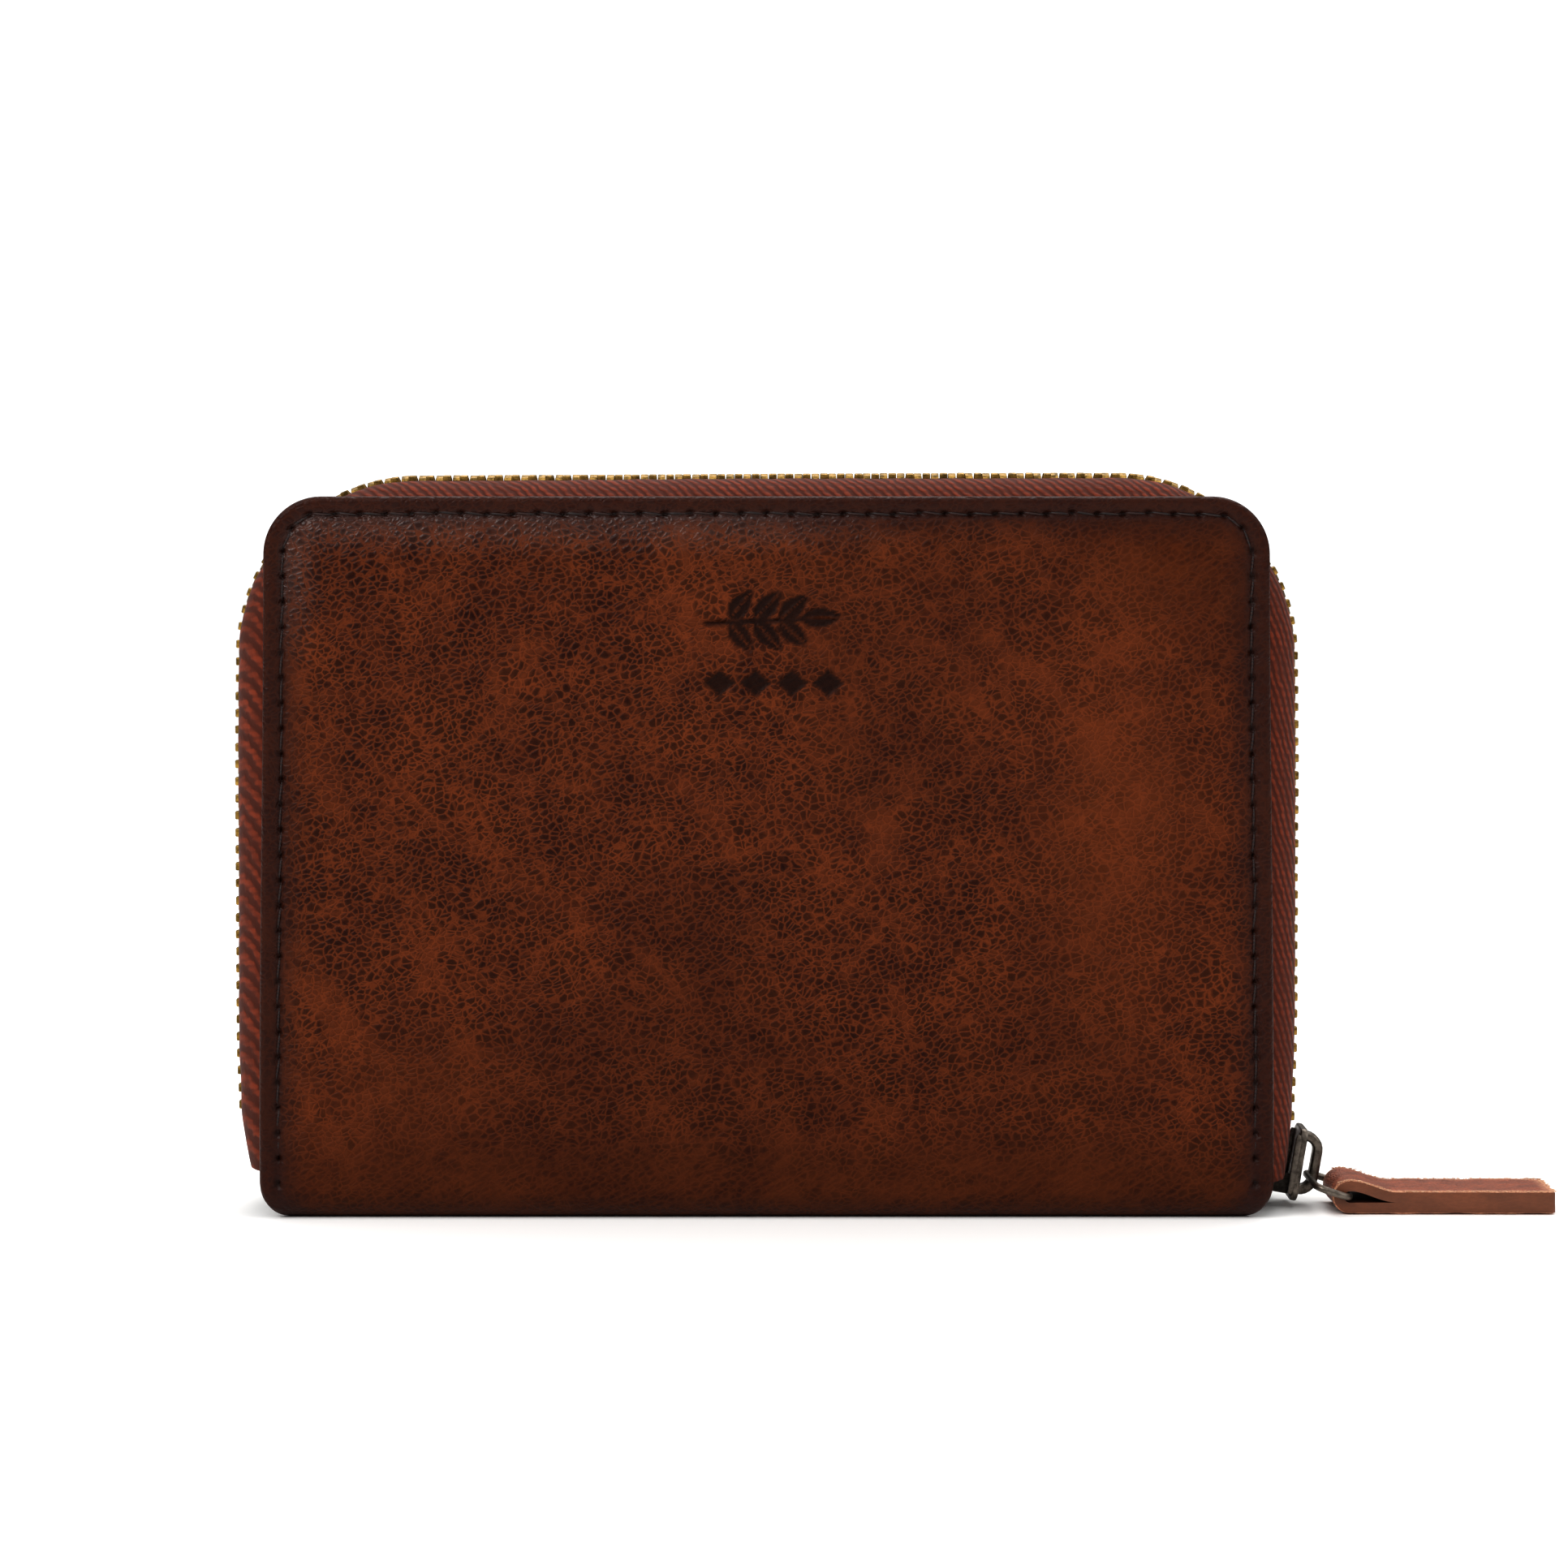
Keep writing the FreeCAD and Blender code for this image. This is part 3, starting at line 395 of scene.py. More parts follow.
# ---------------------------------------------------------------- materials
def pebbled_leather():
    """Vegetable-tanned cowhide, tumbled to a pebbled grain, waxed and burnished at its edges.

    Dark cells about 0.9 mm across show between lighter rubbed veins, and the edges are nearly black and shine more.
    """
    paint = colours()
    made, tree, shader = material("tumbled_cowhide_waxed")
    coords = body_coordinates(tree)
    soft = warped(tree, coords, 150.0, 2.6 * MM)
    fine = warped(tree, soft, 1000.0, 0.5 * MM)
    cells = lengthened(tree, fine, 19, 1.12 * MM, 0.8 * MM)
    edge = node(tree, "TexVoronoi", {"feature": "DISTANCE_TO_EDGE"}, {"Vector": cells, "Scale": 1.0})
    heart = node(tree, "TexVoronoi", {"feature": "F1"}, {"Vector": cells, "Scale": 1.0})
    broad = node(tree, "TexVoronoi", {"feature": "DISTANCE_TO_EDGE"},
                 {"Vector": lengthened(tree, soft, 30, 6.5 * MM, 4.2 * MM), "Scale": 1.0})
    creases = []
    for rise, long, short, width in ((-61, 48, 7.0, 0.06), (24, 36, 8.0, 0.05), (-40, 34, 10.0, 0.045)):
        waved = warped(tree, coords, 55.0, 3.5 * MM)
        lines = node(tree, "TexVoronoi", {"feature": "DISTANCE_TO_EDGE"},
                     {"Vector": lengthened(tree, waved, rise, long * MM, short * MM), "Scale": 1.0})
        creases.append(ramp(tree, lines, 0.0, width, 1.0, 0.0))
    line = calc(tree, "MAXIMUM", creases[0], calc(tree, "MAXIMUM", creases[1], creases[2]))
    cloud = node(tree, "TexNoise", None, {"Vector": coords, "Scale": 62.0, "Detail": 5.0, "Roughness": 0.6})
    patch = node(tree, "TexNoise", None, {"Vector": soft, "Scale": 110.0, "Detail": 4.0, "Roughness": 0.65})
    dust = node(tree, "TexNoise", None, {"Vector": coords, "Scale": 4200.0, "Detail": 3.0, "Roughness": 0.7})
    streak = node(tree, "TexNoise", None,
                  {"Vector": lengthened(tree, coords, 32, 3.2 * MM, 0.45 * MM), "Scale": 1.0, "Detail": 3.0})
    rim, calm, pressed, warm, gloss = (node(tree, "Attribute", {"attribute_name": label})
                                       for label in ("rim", "calm", "pressed", "warm", "gloss"))

    vein = ramp(tree, edge, 0.0, 0.2, 1.0, 0.0)
    band = ramp(tree, broad, 0.0, 0.2, 1.0, 0.0)
    broken = ramp(tree, (patch, "Fac"), 0.38, 0.6, 0.25, 1.0)
    crossing = calc(tree, "MULTIPLY", calc(tree, "MULTIPLY", line, broken), 0.5)
    lines = calc(tree, "MAXIMUM", calc(tree, "MULTIPLY", vein, 0.8), crossing)
    lines = calc(tree, "ADD", lines, calc(tree, "MULTIPLY", calc(tree, "ADD", band, crossing), 0.13))
    lines = calc(tree, "ADD", lines, calc(tree, "MULTIPLY", calc(tree, "SUBTRACT", (dust, "Fac"), 0.5), 0.55))
    strength = calc(tree, "MULTIPLY", lines, ramp(tree, (patch, "Fac"), 0.3, 0.7, 0.62, 1.0))
    strength = calc(tree, "MULTIPLY", strength, calc(tree, "SUBTRACT", 1.0, calc(tree, "MULTIPLY", (calm, "Fac"), 0.68)))
    ground = blend_colour(tree, ramp(tree, (patch, "Fac"), 0.34, 0.68), list(paint.grain_deep),
                          tint(paint.grain_warm, 0.3))
    ground = blend_colour(tree, ramp(tree, (heart, "Distance"), 0.1, 0.65, 0.0, 0.4), ground, tint(paint.grain_warm, 0.4))
    lit = calc(tree, "ADD", calc(tree, "MULTIPLY", (warm, "Fac"), 0.8), ramp(tree, (cloud, "Fac"), 0.44, 0.7, 0.0, 0.2))
    lit = calc(tree, "ADD", lit, calc(tree, "MULTIPLY", (calm, "Fac"), ramp(tree, (streak, "Fac"), 0.35, 0.65, 0.1, 0.5)))
    lit = calc(tree, "MULTIPLY", lit, calc(tree, "SUBTRACT", 1.0, (rim, "Fac")))
    ground = blend_colour(tree, lit, ground, tint(paint.grain_warm, 0.78))
    mixed = blend_colour(tree, strength, ground, list(paint.grain_vein))
    # The burnished colour at the edges is the leather's own; near the bottom fold it is painted shade.
    edged = blend_colour(tree, calc(tree, "MULTIPLY", (rim, "Fac"), 0.8), mixed, list(paint.burnish))
    # The motif is darkened as pressed leather, and the needle holes are darkened as painted shade.
    stamped = blend_colour(tree, calc(tree, "MULTIPLY", (pressed, "Fac"), 0.85), edged, tint(paint.burnish, 0.3))

    dome = ramp(tree, edge, 0.0, 0.3)
    level = calc(tree, "MULTIPLY", dome, calc(tree, "SUBTRACT", 1.0, calc(tree, "MULTIPLY", (calm, "Fac"), 0.6)))
    level = calc(tree, "SUBTRACT", level, calc(tree, "MULTIPLY", line, 0.6))
    level = calc(tree, "ADD", level, calc(tree, "MULTIPLY", (dust, "Fac"), 0.35))
    bump = node(tree, "Bump", None, {"Strength": 0.8, "Distance": 0.12 * MM, "Height": level})
    rough = calc(tree, "ADD", ramp(tree, (patch, "Fac"), 0.3, 0.7, 0.42, 0.54), calc(tree, "MULTIPLY", strength, 0.12))
    coat = calc(tree, "ADD", calc(tree, "MULTIPLY", (rim, "Fac"), 0.12), calc(tree, "MULTIPLY", (gloss, "Fac"), 0.75))
    wire(tree, shader, {"Base Color": stamped, "Normal": bump, "Coat Normal": bump, "Roughness": rough, "IOR": 1.48,
                        "Specular IOR Level": 0.13, "Coat Weight": coat, "Coat Roughness": 0.3})
    return made


def inner_leather():
    """Thin split goatskin, plated smooth: a matt brown with fine pores and faint cloudiness."""
    made, tree, shader = material("goatskin_plated")
    base = list(colours().inner)
    coords = body_coordinates(tree)
    pores = node(tree, "TexVoronoi", {"feature": "DISTANCE_TO_EDGE"},
                 {"Vector": warped(tree, coords, 900.0, 0.3 * MM), "Scale": 1 / (0.55 * MM)})
    cloud = node(tree, "TexNoise", None, {"Vector": coords, "Scale": 95.0, "Detail": 6.0, "Roughness": 0.65})
    tone = blend_colour(tree, ramp(tree, (cloud, "Fac"), 0.32, 0.7), tint(base, 0.62), tint(base, 1.15))
    tone = blend_colour(tree, ramp(tree, pores, 0.0, 0.12, 0.4, 0.0), tone, tint(base, 0.35))
    bump = node(tree, "Bump", None, {"Strength": 0.5, "Distance": 0.05 * MM, "Height": ramp(tree, pores, 0.0, 0.25)})
    wire(tree, shader, {"Base Color": tone, "Normal": bump, "Roughness": ramp(tree, (cloud, "Fac"), 0.3, 0.7, 0.5, 0.66),
                        "IOR": 1.48, "Specular IOR Level": 0.35})
    return made


def puller_grain():
    """The same hide as the covers, undyed wax finish: coarse wrinkled grain, rubbed pale along its edges."""
    made, tree, shader = material("cowhide_waxed_light")
    base = list(colours().puller)
    coords = body_coordinates(tree, stretch=(1.0, 1.5, 1.5))
    soft = warped(tree, coords, 420.0, 0.9 * MM)
    cells = node(tree, "TexVoronoi", {"feature": "DISTANCE_TO_EDGE"}, {"Vector": soft, "Scale": 1 / (0.75 * MM)})
    patch = node(tree, "TexNoise", None, {"Vector": coords, "Scale": 330.0, "Detail": 5.0, "Roughness": 0.7})
    dust = node(tree, "TexNoise", None, {"Vector": coords, "Scale": 4200.0, "Detail": 2.0})
    worn = node(tree, "Attribute", {"attribute_name": "worn"})
    tone = blend_colour(tree, ramp(tree, (patch, "Fac"), 0.32, 0.68), tint(base, 0.6), tint(base, 1.1))
    tone = blend_colour(tree, ramp(tree, cells, 0.0, 0.14, 0.55, 0.0), tone, tint(base, 0.42))
    rubbed = calc(tree, "MULTIPLY", (worn, "Fac"), ramp(tree, (dust, "Fac"), 0.34, 0.62, 0.15, 1.0))
    tone = blend_colour(tree, rubbed, tone, to_linear("#d09a78"))
    height = calc(tree, "ADD", ramp(tree, cells, 0.0, 0.3), calc(tree, "MULTIPLY", (dust, "Fac"), 0.5))
    bump = node(tree, "Bump", None, {"Strength": 0.85, "Distance": 0.12 * MM, "Height": height})
    wire(tree, shader, {"Base Color": tone, "Normal": bump, "Roughness": ramp(tree, (patch, "Fac"), 0.3, 0.7, 0.45, 0.62),
                        "IOR": 1.48, "Specular IOR Level": 0.4})
    return made


def edge_paint():
    """Edge paint, brushed on the cut leather in two coats: a smooth light brown with a fine speckle."""
    made, tree, shader = material("edge_paint_brushed")
    base = list(colours().edge_paint)
    coords = body_coordinates(tree, stretch=(0.55, 1, 1.6))
    speckle = node(tree, "TexNoise", None, {"Vector": coords, "Scale": 2600.0, "Detail": 3.0, "Roughness": 0.6})
    streak = node(tree, "TexNoise", None, {"Vector": coords, "Scale": 260.0, "Detail": 4.0})
    tone = blend_colour(tree, ramp(tree, (streak, "Fac"), 0.3, 0.7), tint(base, 0.82), tint(base, 1.08))
    tone = blend_colour(tree, ramp(tree, (speckle, "Fac"), 0.35, 0.65, 0.3, 0.0), tone, tint(base, 0.5))
    bump = node(tree, "Bump", None, {"Strength": 0.4, "Distance": 0.05 * MM, "Height": (speckle, "Fac")})
    wire(tree, shader, {"Base Color": tone, "Normal": bump, "Roughness": 0.55, "IOR": 1.5})
    return made


def twill_tape():
    """Polyester zip tape, woven in a herringbone twill: slanted ribs about 0.6 mm apart, broken up by uneven yarns.

    The real yarns are about 0.3 mm; they are drawn at twice that so that they show.
    """
    made, tree, shader = material("polyester_twill_woven")
    base = list(colours().tape)
    coords = body_coordinates(tree)
    jitter = warped(tree, coords, 900.0, 0.42 * MM)
    ribs = []
    for turn in (45, -45):
        leaning = node(tree, "Mapping", None, {"Vector": jitter, "Rotation": (math.radians(turn), 0, math.radians(turn))})
        ribs.append(node(tree, "TexWave", {"wave_type": "BANDS", "bands_direction": "DIAGONAL", "wave_profile": "SIN"},
                         {"Vector": leaning, "Scale": 1 / (3.1 * MM), "Distortion": 2.2, "Detail": 1.0}))
    weave = calc(tree, "MULTIPLY", (ribs[0], "Fac"), ramp(tree, (ribs[1], "Fac"), 0.0, 1.0, 0.55, 1.0))
    cloud = node(tree, "TexNoise", None, {"Vector": coords, "Scale": 240.0, "Detail": 4.0, "Roughness": 0.7})
    tone = blend_colour(tree, ramp(tree, weave, 0.1, 0.8), tint(base, 0.42), tint(base, 1.3))
    tone = blend_colour(tree, ramp(tree, (cloud, "Fac"), 0.35, 0.65, 0.55, 0.0), tone, tint(base, 0.5))
    bump = node(tree, "Bump", None, {"Strength": 0.9, "Distance": 0.12 * MM, "Height": weave})
    wire(tree, shader, {"Base Color": tone, "Normal": bump, "Roughness": 0.78, "IOR": 1.5, "Sheen Weight": 0.06,
                        "Sheen Roughness": 0.45, "Specular IOR Level": 0.25})
    return made


def woven_cloth():
    """Cotton lining, plain weave: threads over and under each other every 0.5 mm."""
    made, tree, shader = material("cotton_plain_weave")
    base = list(colours().cloth)
    coords = body_coordinates(tree)
    threads = [node(tree, "TexWave", {"wave_type": "BANDS", "bands_direction": axis, "wave_profile": "SIN"},
                    {"Vector": warped(tree, coords, 1300.0, 0.08 * MM), "Scale": 1 / (3.2 * MM)}) for axis in ("X", "Z")]
    weave = calc(tree, "MULTIPLY", (threads[0], "Fac"), (threads[1], "Fac"))
    tone = blend_colour(tree, weave, tint(base, 0.5), tint(base, 1.3))
    bump = node(tree, "Bump", None, {"Strength": 0.7, "Distance": 0.08 * MM, "Height": weave})
    wire(tree, shader, {"Base Color": tone, "Normal": bump, "Roughness": 0.85, "Sheen Weight": 0.2})
    return made


def metal(name, base, dark, roughness, grit):
    """A metal skin: base where it is rubbed, dark in its tarnish, with scratches as fine as grit, in metres."""
    made, tree, shader = material(name)
    coords = body_coordinates(tree)
    tarnish = node(tree, "TexNoise", None, {"Vector": coords, "Scale": 900.0, "Detail": 6.0, "Roughness": 0.7})
    scratch = node(tree, "TexNoise", None, {"Vector": body_coordinates(tree, stretch=(1, 6, 1)), "Scale": 1 / grit,
                                            "Detail": 3.0})
    tone = blend_colour(tree, ramp(tree, (tarnish, "Fac"), 0.35, 0.62), dark, base)
    rough = calc(tree, "ADD", ramp(tree, (tarnish, "Fac"), 0.3, 0.7, roughness + 0.12, roughness - 0.06),
                 calc(tree, "MULTIPLY", (scratch, "Fac"), 0.1))
    bump = node(tree, "Bump", None, {"Strength": 0.35, "Distance": 0.02 * MM, "Height": (scratch, "Fac")})
    wire(tree, shader, {"Base Color": tone, "Metallic": 1.0, "Roughness": rough, "Normal": bump})
    return made


def antique_brass():
    """Brass teeth, stamped, tumbled and oxidised: dark in the hollows and rubbed golden on the crowns."""
    base = list(colours().brass)
    return metal("brass_stamped_antiqued", base, tint(base, 0.28), 0.36, 0.12 * MM)


def black_nickel():
    """Zinc die-casting plated in black nickel and tumbled: a warm near-black metal with soft highlights."""
    base = list(colours().nickel)
    return metal("zinc_black_nickel_plated", base, tint(base, 0.45), 0.34, 0.09 * MM)


def waxed_thread():
    """Bonded polyester thread, twisted and waxed: fine slanted plies with a slight shine."""
    made, tree, shader = material("polyester_thread_twisted")
    base = list(colours().thread)
    coords = body_coordinates(tree, turn=(0, math.radians(35), 0))
    plies = node(tree, "TexWave", {"wave_type": "BANDS", "bands_direction": "DIAGONAL"},
                 {"Vector": coords, "Scale": 1 / (1.1 * MM), "Distortion": 1.0})
    tone = blend_colour(tree, (plies, "Fac"), tint(base, 0.45), tint(base, 1.9))
    bump = node(tree, "Bump", None, {"Strength": 0.6, "Distance": 0.05 * MM, "Height": (plies, "Fac")})
    wire(tree, shader, {"Base Color": tone, "Normal": bump, "Roughness": 0.5})
    return made


def felt():
    """Needled felt padding and board, which show only as a thin line: fibrous and matt."""
    made, tree, shader = material("wool_felt_needled")
    fibres = node(tree, "TexNoise", None, {"Vector": body_coordinates(tree), "Scale": 1500.0, "Detail": 6.0})
    tone = blend_colour(tree, (fibres, "Fac"), to_linear("#4a3a2c"), to_linear("#8c7458"))
    wire(tree, shader, {"Base Color": tone, "Roughness": 0.9})
    return made


PAINTS = {}
MAKERS = {
    "cover": pebbled_leather, "inner": inner_leather, "puller": puller_grain, "edge": edge_paint, "tape": twill_tape,
    "cloth": woven_cloth, "brass": antique_brass, "nickel": black_nickel, "thread": waxed_thread, "felt": felt,
}


def paint(name):
    """A material by its short name, made once."""
    if name not in PAINTS:
        PAINTS[name] = MAKERS[name]()
    return PAINTS[name]


def dress(node_name, name):
    """Gives a packed node that stays its better material."""
    obj = frame["nodes"][node_name]
    for slot in obj.material_slots:
        slot.link = "OBJECT"
        slot.material = paint(name)
    for face in () if obj.data is None else ():
        face.use_smooth = True


# ---------------------------------------------------------------- leather skins
def leaf_motif(x, z):
    """How deep the pressed motif is at points on the cover's face, 0 to 1: a leafy twig over a row of four lozenges."""
    wide = sizes().motif
    along = (x - 1 * MM) / wide
    up = (z - COVER_HIGH.z + 16.9 * MM) / wide

    def line(ax, ay, bx, by, width):
        run_x, run_y = bx - ax, by - ay
        t = np.clip(((along - ax) * run_x + (up - ay) * run_y) / (run_x ** 2 + run_y ** 2), 0, 1)
        away = np.hypot(along - ax - t * run_x, up - ay - t * run_y)
        return 1 - smooth(away, width, width + 0.02)

    def leaf(cx, cy, angle, long, half_wide):
        turn = math.radians(angle)
        u = (along - cx) * math.cos(turn) + (up - cy) * math.sin(turn)
        v = -(along - cx) * math.sin(turn) + (up - cy) * math.cos(turn)
        t = np.clip(u / long, 0, 1)
        half = half_wide * np.sin(math.pi * t ** 0.75)
        body = np.where((u > 0) & (u < long), 1 - smooth(np.abs(v), half - 0.008, half + 0.012), 0)
        return body * (1 - 0.8 * (1 - smooth(np.abs(v), 0.003, 0.014)))

    shapes = [line(-0.5, -0.03, 0.25, 0.0, 0.008), leaf(0.2, 0.0, 4, 0.32, 0.07)]
    for cx, angle, long in ((-0.33, 52, 0.29), (-0.14, 47, 0.3), (0.05, 42, 0.28)):
        shapes += [leaf(cx, 0.0, angle, long, 0.07), leaf(cx, -0.02, -angle, long, 0.07)]
    for i in range(4):
        away = np.abs(along - (i - 1.5) * 0.27) / 0.115 + np.abs(up + 0.475) / 0.1
        shapes.append(1 - smooth(away, 0.85, 1.1))
    return np.maximum.reduce(shapes)


def skin_rows():
    """Stations up a cover's skin, from the middle of the underside round the crease to the top edge.

    Each is (y, z, out y, out z, half width, distance above the floor along the skin).
    """
    s = sizes()
    crease, half_deep, top = SPINE_HIGH.z, -SPINE_LOW.y, COVER_HIGH.z
    flat = half_deep - crease
    rows = []

    def half_width(z):
        straight = SPINE_HIGH.x - s.flare * smooth(z, s.foot_long, top)
        if z < s.foot_long:
            drop = (s.foot_long - z) / s.foot_long
            straight -= s.foot_wide * (1 - math.sqrt(max(1 - drop * drop, 0.0)))
        if z > top - s.corner:
            rise = min((z - top + s.corner) / s.corner, 1.0)
            straight -= s.corner * (1 - math.sqrt(1 - rise * rise))
        return float(straight)

    for i in range(10):
        rows.append((-flat * i / 10, 0.0, 0.0, -1.0))
    for i in range(22):
        t = math.pi / 2 * i / 22
        rows.append((-flat - crease * math.sin(t), crease - crease * math.cos(t), -math.sin(t), -math.cos(t)))
    step = 0.36 * MM
    straight = top - s.corner - crease
    count = int(straight / step)
    rows += [(-half_deep, crease + straight * i / count, -1.0, 0.0) for i in range(count)]
    turns = 40
    for i in range(turns + 1):
        rows.append((-half_deep, top - s.corner + s.corner * math.sin(math.pi / 2 * i / turns), -1.0, 0.0))
    return [(y, z, oy, oz, half_width(z)) for y, z, oy, oz in rows]


def column_spread():
    """Places across a skin from -1 to 1, close together near both edges."""
    middle = np.linspace(-1, 1, 361)
    near = np.array([0.0012, 0.0028, 0.0045, 0.0065, 0.009, 0.012, 0.0155, 0.0195])
    inner = middle[np.abs(middle) < 1 - 0.0215]
    return np.concatenate(([-1.0], -1 + near, inner, 1 - near[::-1], [1.0]))


def edge_distance(x, z, half):
    """Distance from points on the face to the cover's outline, ignoring the crease side."""
    s = sizes()
    top = COVER_HIGH.z
    side = half - np.abs(x)
    upper = top - z
    wide_half = COVER_HIGH.x - s.flare * smooth(z, s.foot_long, top)
    corner_x = wide_half - s.corner
    in_corner = (np.abs(x) > corner_x) & (z > top - s.corner)
    round_gap = s.corner - np.hypot(np.abs(x) - corner_x, z - top + s.corner)
    straight = np.minimum(wide_half - np.abs(x), upper)
    return np.where(in_corner, round_gap, np.where(z > top - s.corner, straight, np.minimum(side, upper)))


def seam_path():
    """The seam's own arch on a cover's face: (half width, top, corner, lowest)."""
    s = sizes()
    return (COVER_HIGH.x - s.flare * 0.5 - s.seam_inset, COVER_HIGH.z - s.seam_inset * 0.9,
            s.corner - s.seam_inset, 4.6 * MM)


def needle_holes(side):
    """Needle holes round the seam: (x, z, along x, along z), from the right foot to the left foot."""
    s = sizes()
    half, top, corner, low = seam_path()
    total = arch(half, top, corner, low, low, 1 * MM)[-1][4]
    count = int(total / s.stitch_pitch)
    pick = random.Random(11 + side)
    holes = []
    for i in range(count + 1):
        run = i * s.stitch_pitch + (total - count * s.stitch_pitch) / 2
        x, z, ox, oz = arch_at(half, top, corner, low, run)
        flare = s.flare * (0.5 - float(smooth(z, s.foot_long, COVER_HIGH.z))) * (1 if x > 0 else -1)
        if abs(ox) < 0.5:
            flare = 0.0
        jog = pick.uniform(-0.14, 0.14) * MM
        holes.append((x + flare + ox * jog, z + oz * jog, -oz, ox))
    return holes


def cover_skin(side, word):
    """One cover's leather with half of the spine's, as a closed skin that is turned in round three sides."""
    s = sizes()
    rows = skin_rows()
    spread = column_spread()
    base = np.array([[(u * w, y, z) for u in spread] for y, z, oy, oz, w in rows])
    out = np.array([[(0, oy, oz)] * len(spread) for y, z, oy, oz, w in rows])
    half = np.array([[w] * len(spread) for *_, w in rows])
    x, z = base[..., 0].ravel(), base[..., 2].ravel()
    gap = edge_distance(x, z, half.ravel())
    flat_points = base.reshape(-1, 3)
    under = np.repeat([oz < -0.5 for y, zz, oy, oz, w in rows], len(spread))

    r = s.edge_round
    depth = np.where(gap < r, r - np.sqrt(np.maximum(r * r - (r - np.clip(gap, 0, r)) ** 2, 0)), 0)
    on_face = smooth(z, 3 * MM, 10 * MM)
    seam = np.exp(-((gap - s.seam_inset) / (0.55 * MM)) ** 2)
    depth = depth + seam * 0.26 * MM * smooth(z, 1.0 * MM, 5 * MM)
    crown = smooth(gap, s.seam_inset, s.seam_inset + 8 * MM)
    depth = depth + (0.3 * MM * smooth(gap, 0, s.seam_inset) - crown * 0.62 * MM) * on_face * smooth(z, 4 * MM, 22 * MM)
    swell = noise(flat_points, 1 / (21 * MM), 3 + side) * 0.12 + noise(flat_points, 1 / (9 * MM), 8 + side) * 0.05
    depth = depth + swell * MM * crown * on_face
    slant = np.stack([x * 0.83 + z * 0.55, flat_points[:, 1], (z * 0.83 - x * 0.55) * 4.0], axis=1)
    folds = noise(slant, 1 / (11 * MM), 21 + side)
    depth = depth + np.exp(-(folds / 0.06) ** 2) * 0.05 * MM * crown * on_face
    grit = noise(flat_points, 1 / (1.3 * MM), 31 + side)
    depth = depth + grit * 0.022 * MM * smooth(gap, 0.6 * MM, 2 * MM) * np.where(under, 0.3, 1)

    # The needle holes are sunk and also painted dark: painted shade inside the holes.
    hole_painted_shade = np.zeros(len(x))
    for hx, hz, ax, az in needle_holes(side):
        near = (np.abs(x - hx) < 1.3 * MM) & (np.abs(z - hz) < 1.3 * MM) & ~under
        if not near.any():
            continue
        along = (x[near] - hx) * ax + (z[near] - hz) * az
        across = -(x[near] - hx) * az + (z[near] - hz) * ax
        pit = np.exp(-(along / (0.5 * MM)) ** 2 - (across / (0.36 * MM)) ** 2)
        depth[near] += pit * 0.7 * MM
        hole_painted_shade[near] = np.maximum(hole_painted_shade[near], pit)
    motif = np.zeros(len(x))
    if side < 0:
        motif = leaf_motif(x, z) * (~under)
        depth = depth + motif * 0.42 * MM

    surface = flat_points - out.reshape(-1, 3) * depth[:, None]
    shape = base.shape
    shell = Shell()
    indices = np.array(shell.add(surface)).reshape(shape[0], shape[1])
    shell.bands([list(row) for row in indices])

    # rim is darker towards the edges and along the seam; its part in the lowest 5 mm, where the leather turns under
    # towards the floor, is painted shade.
    marks = {"rim": np.clip((1 - smooth(gap, 1.2 * MM, 7.5 * MM)) * 0.8 + seam * 0.35
                            + (1 - smooth(z, 0, 5 * MM)) * 0.35, 0, 1)}
    streaky = smooth(noise(flat_points, 1 / (26 * MM), 41 + side), -0.1, 0.6)
    lower = 1 - smooth(z, 5 * MM, 15 * MM)
    upper_right = smooth(x + z * 0.9, 118 * MM, 146 * MM)
    marks["calm"] = np.clip((1 - smooth(gap, 1 * MM, 5.5 * MM)) * 0.8 + lower * 0.9 + upper_right * 0.8
                            + streaky * 0.35 + motif, 0, 1)
    marks["warm"] = np.exp(-((x - 49 * MM) / (11 * MM)) ** 2 - ((z - 55 * MM) / (34 * MM)) ** 2) * 0.9
    marks["warm"] += np.exp(-((x + 52 * MM) / (15 * MM)) ** 2 - ((z - 17 * MM) / (9 * MM)) ** 2) * 0.5
    # pressed carries the motif's darker pressed leather and the needle holes' painted shade.
    marks["pressed"] = np.clip(motif + hole_painted_shade, 0, 1)
    marks["gloss"] = (smooth(gap, 1.6 * MM, 3.2 * MM) * (1 - smooth(gap, 4 * MM, 9 * MM)) * smooth(z, 74 * MM, 92 * MM)
                      * (1 - smooth(x, -15 * MM, 25 * MM)) * (0.6 + 0.4 * streaky))

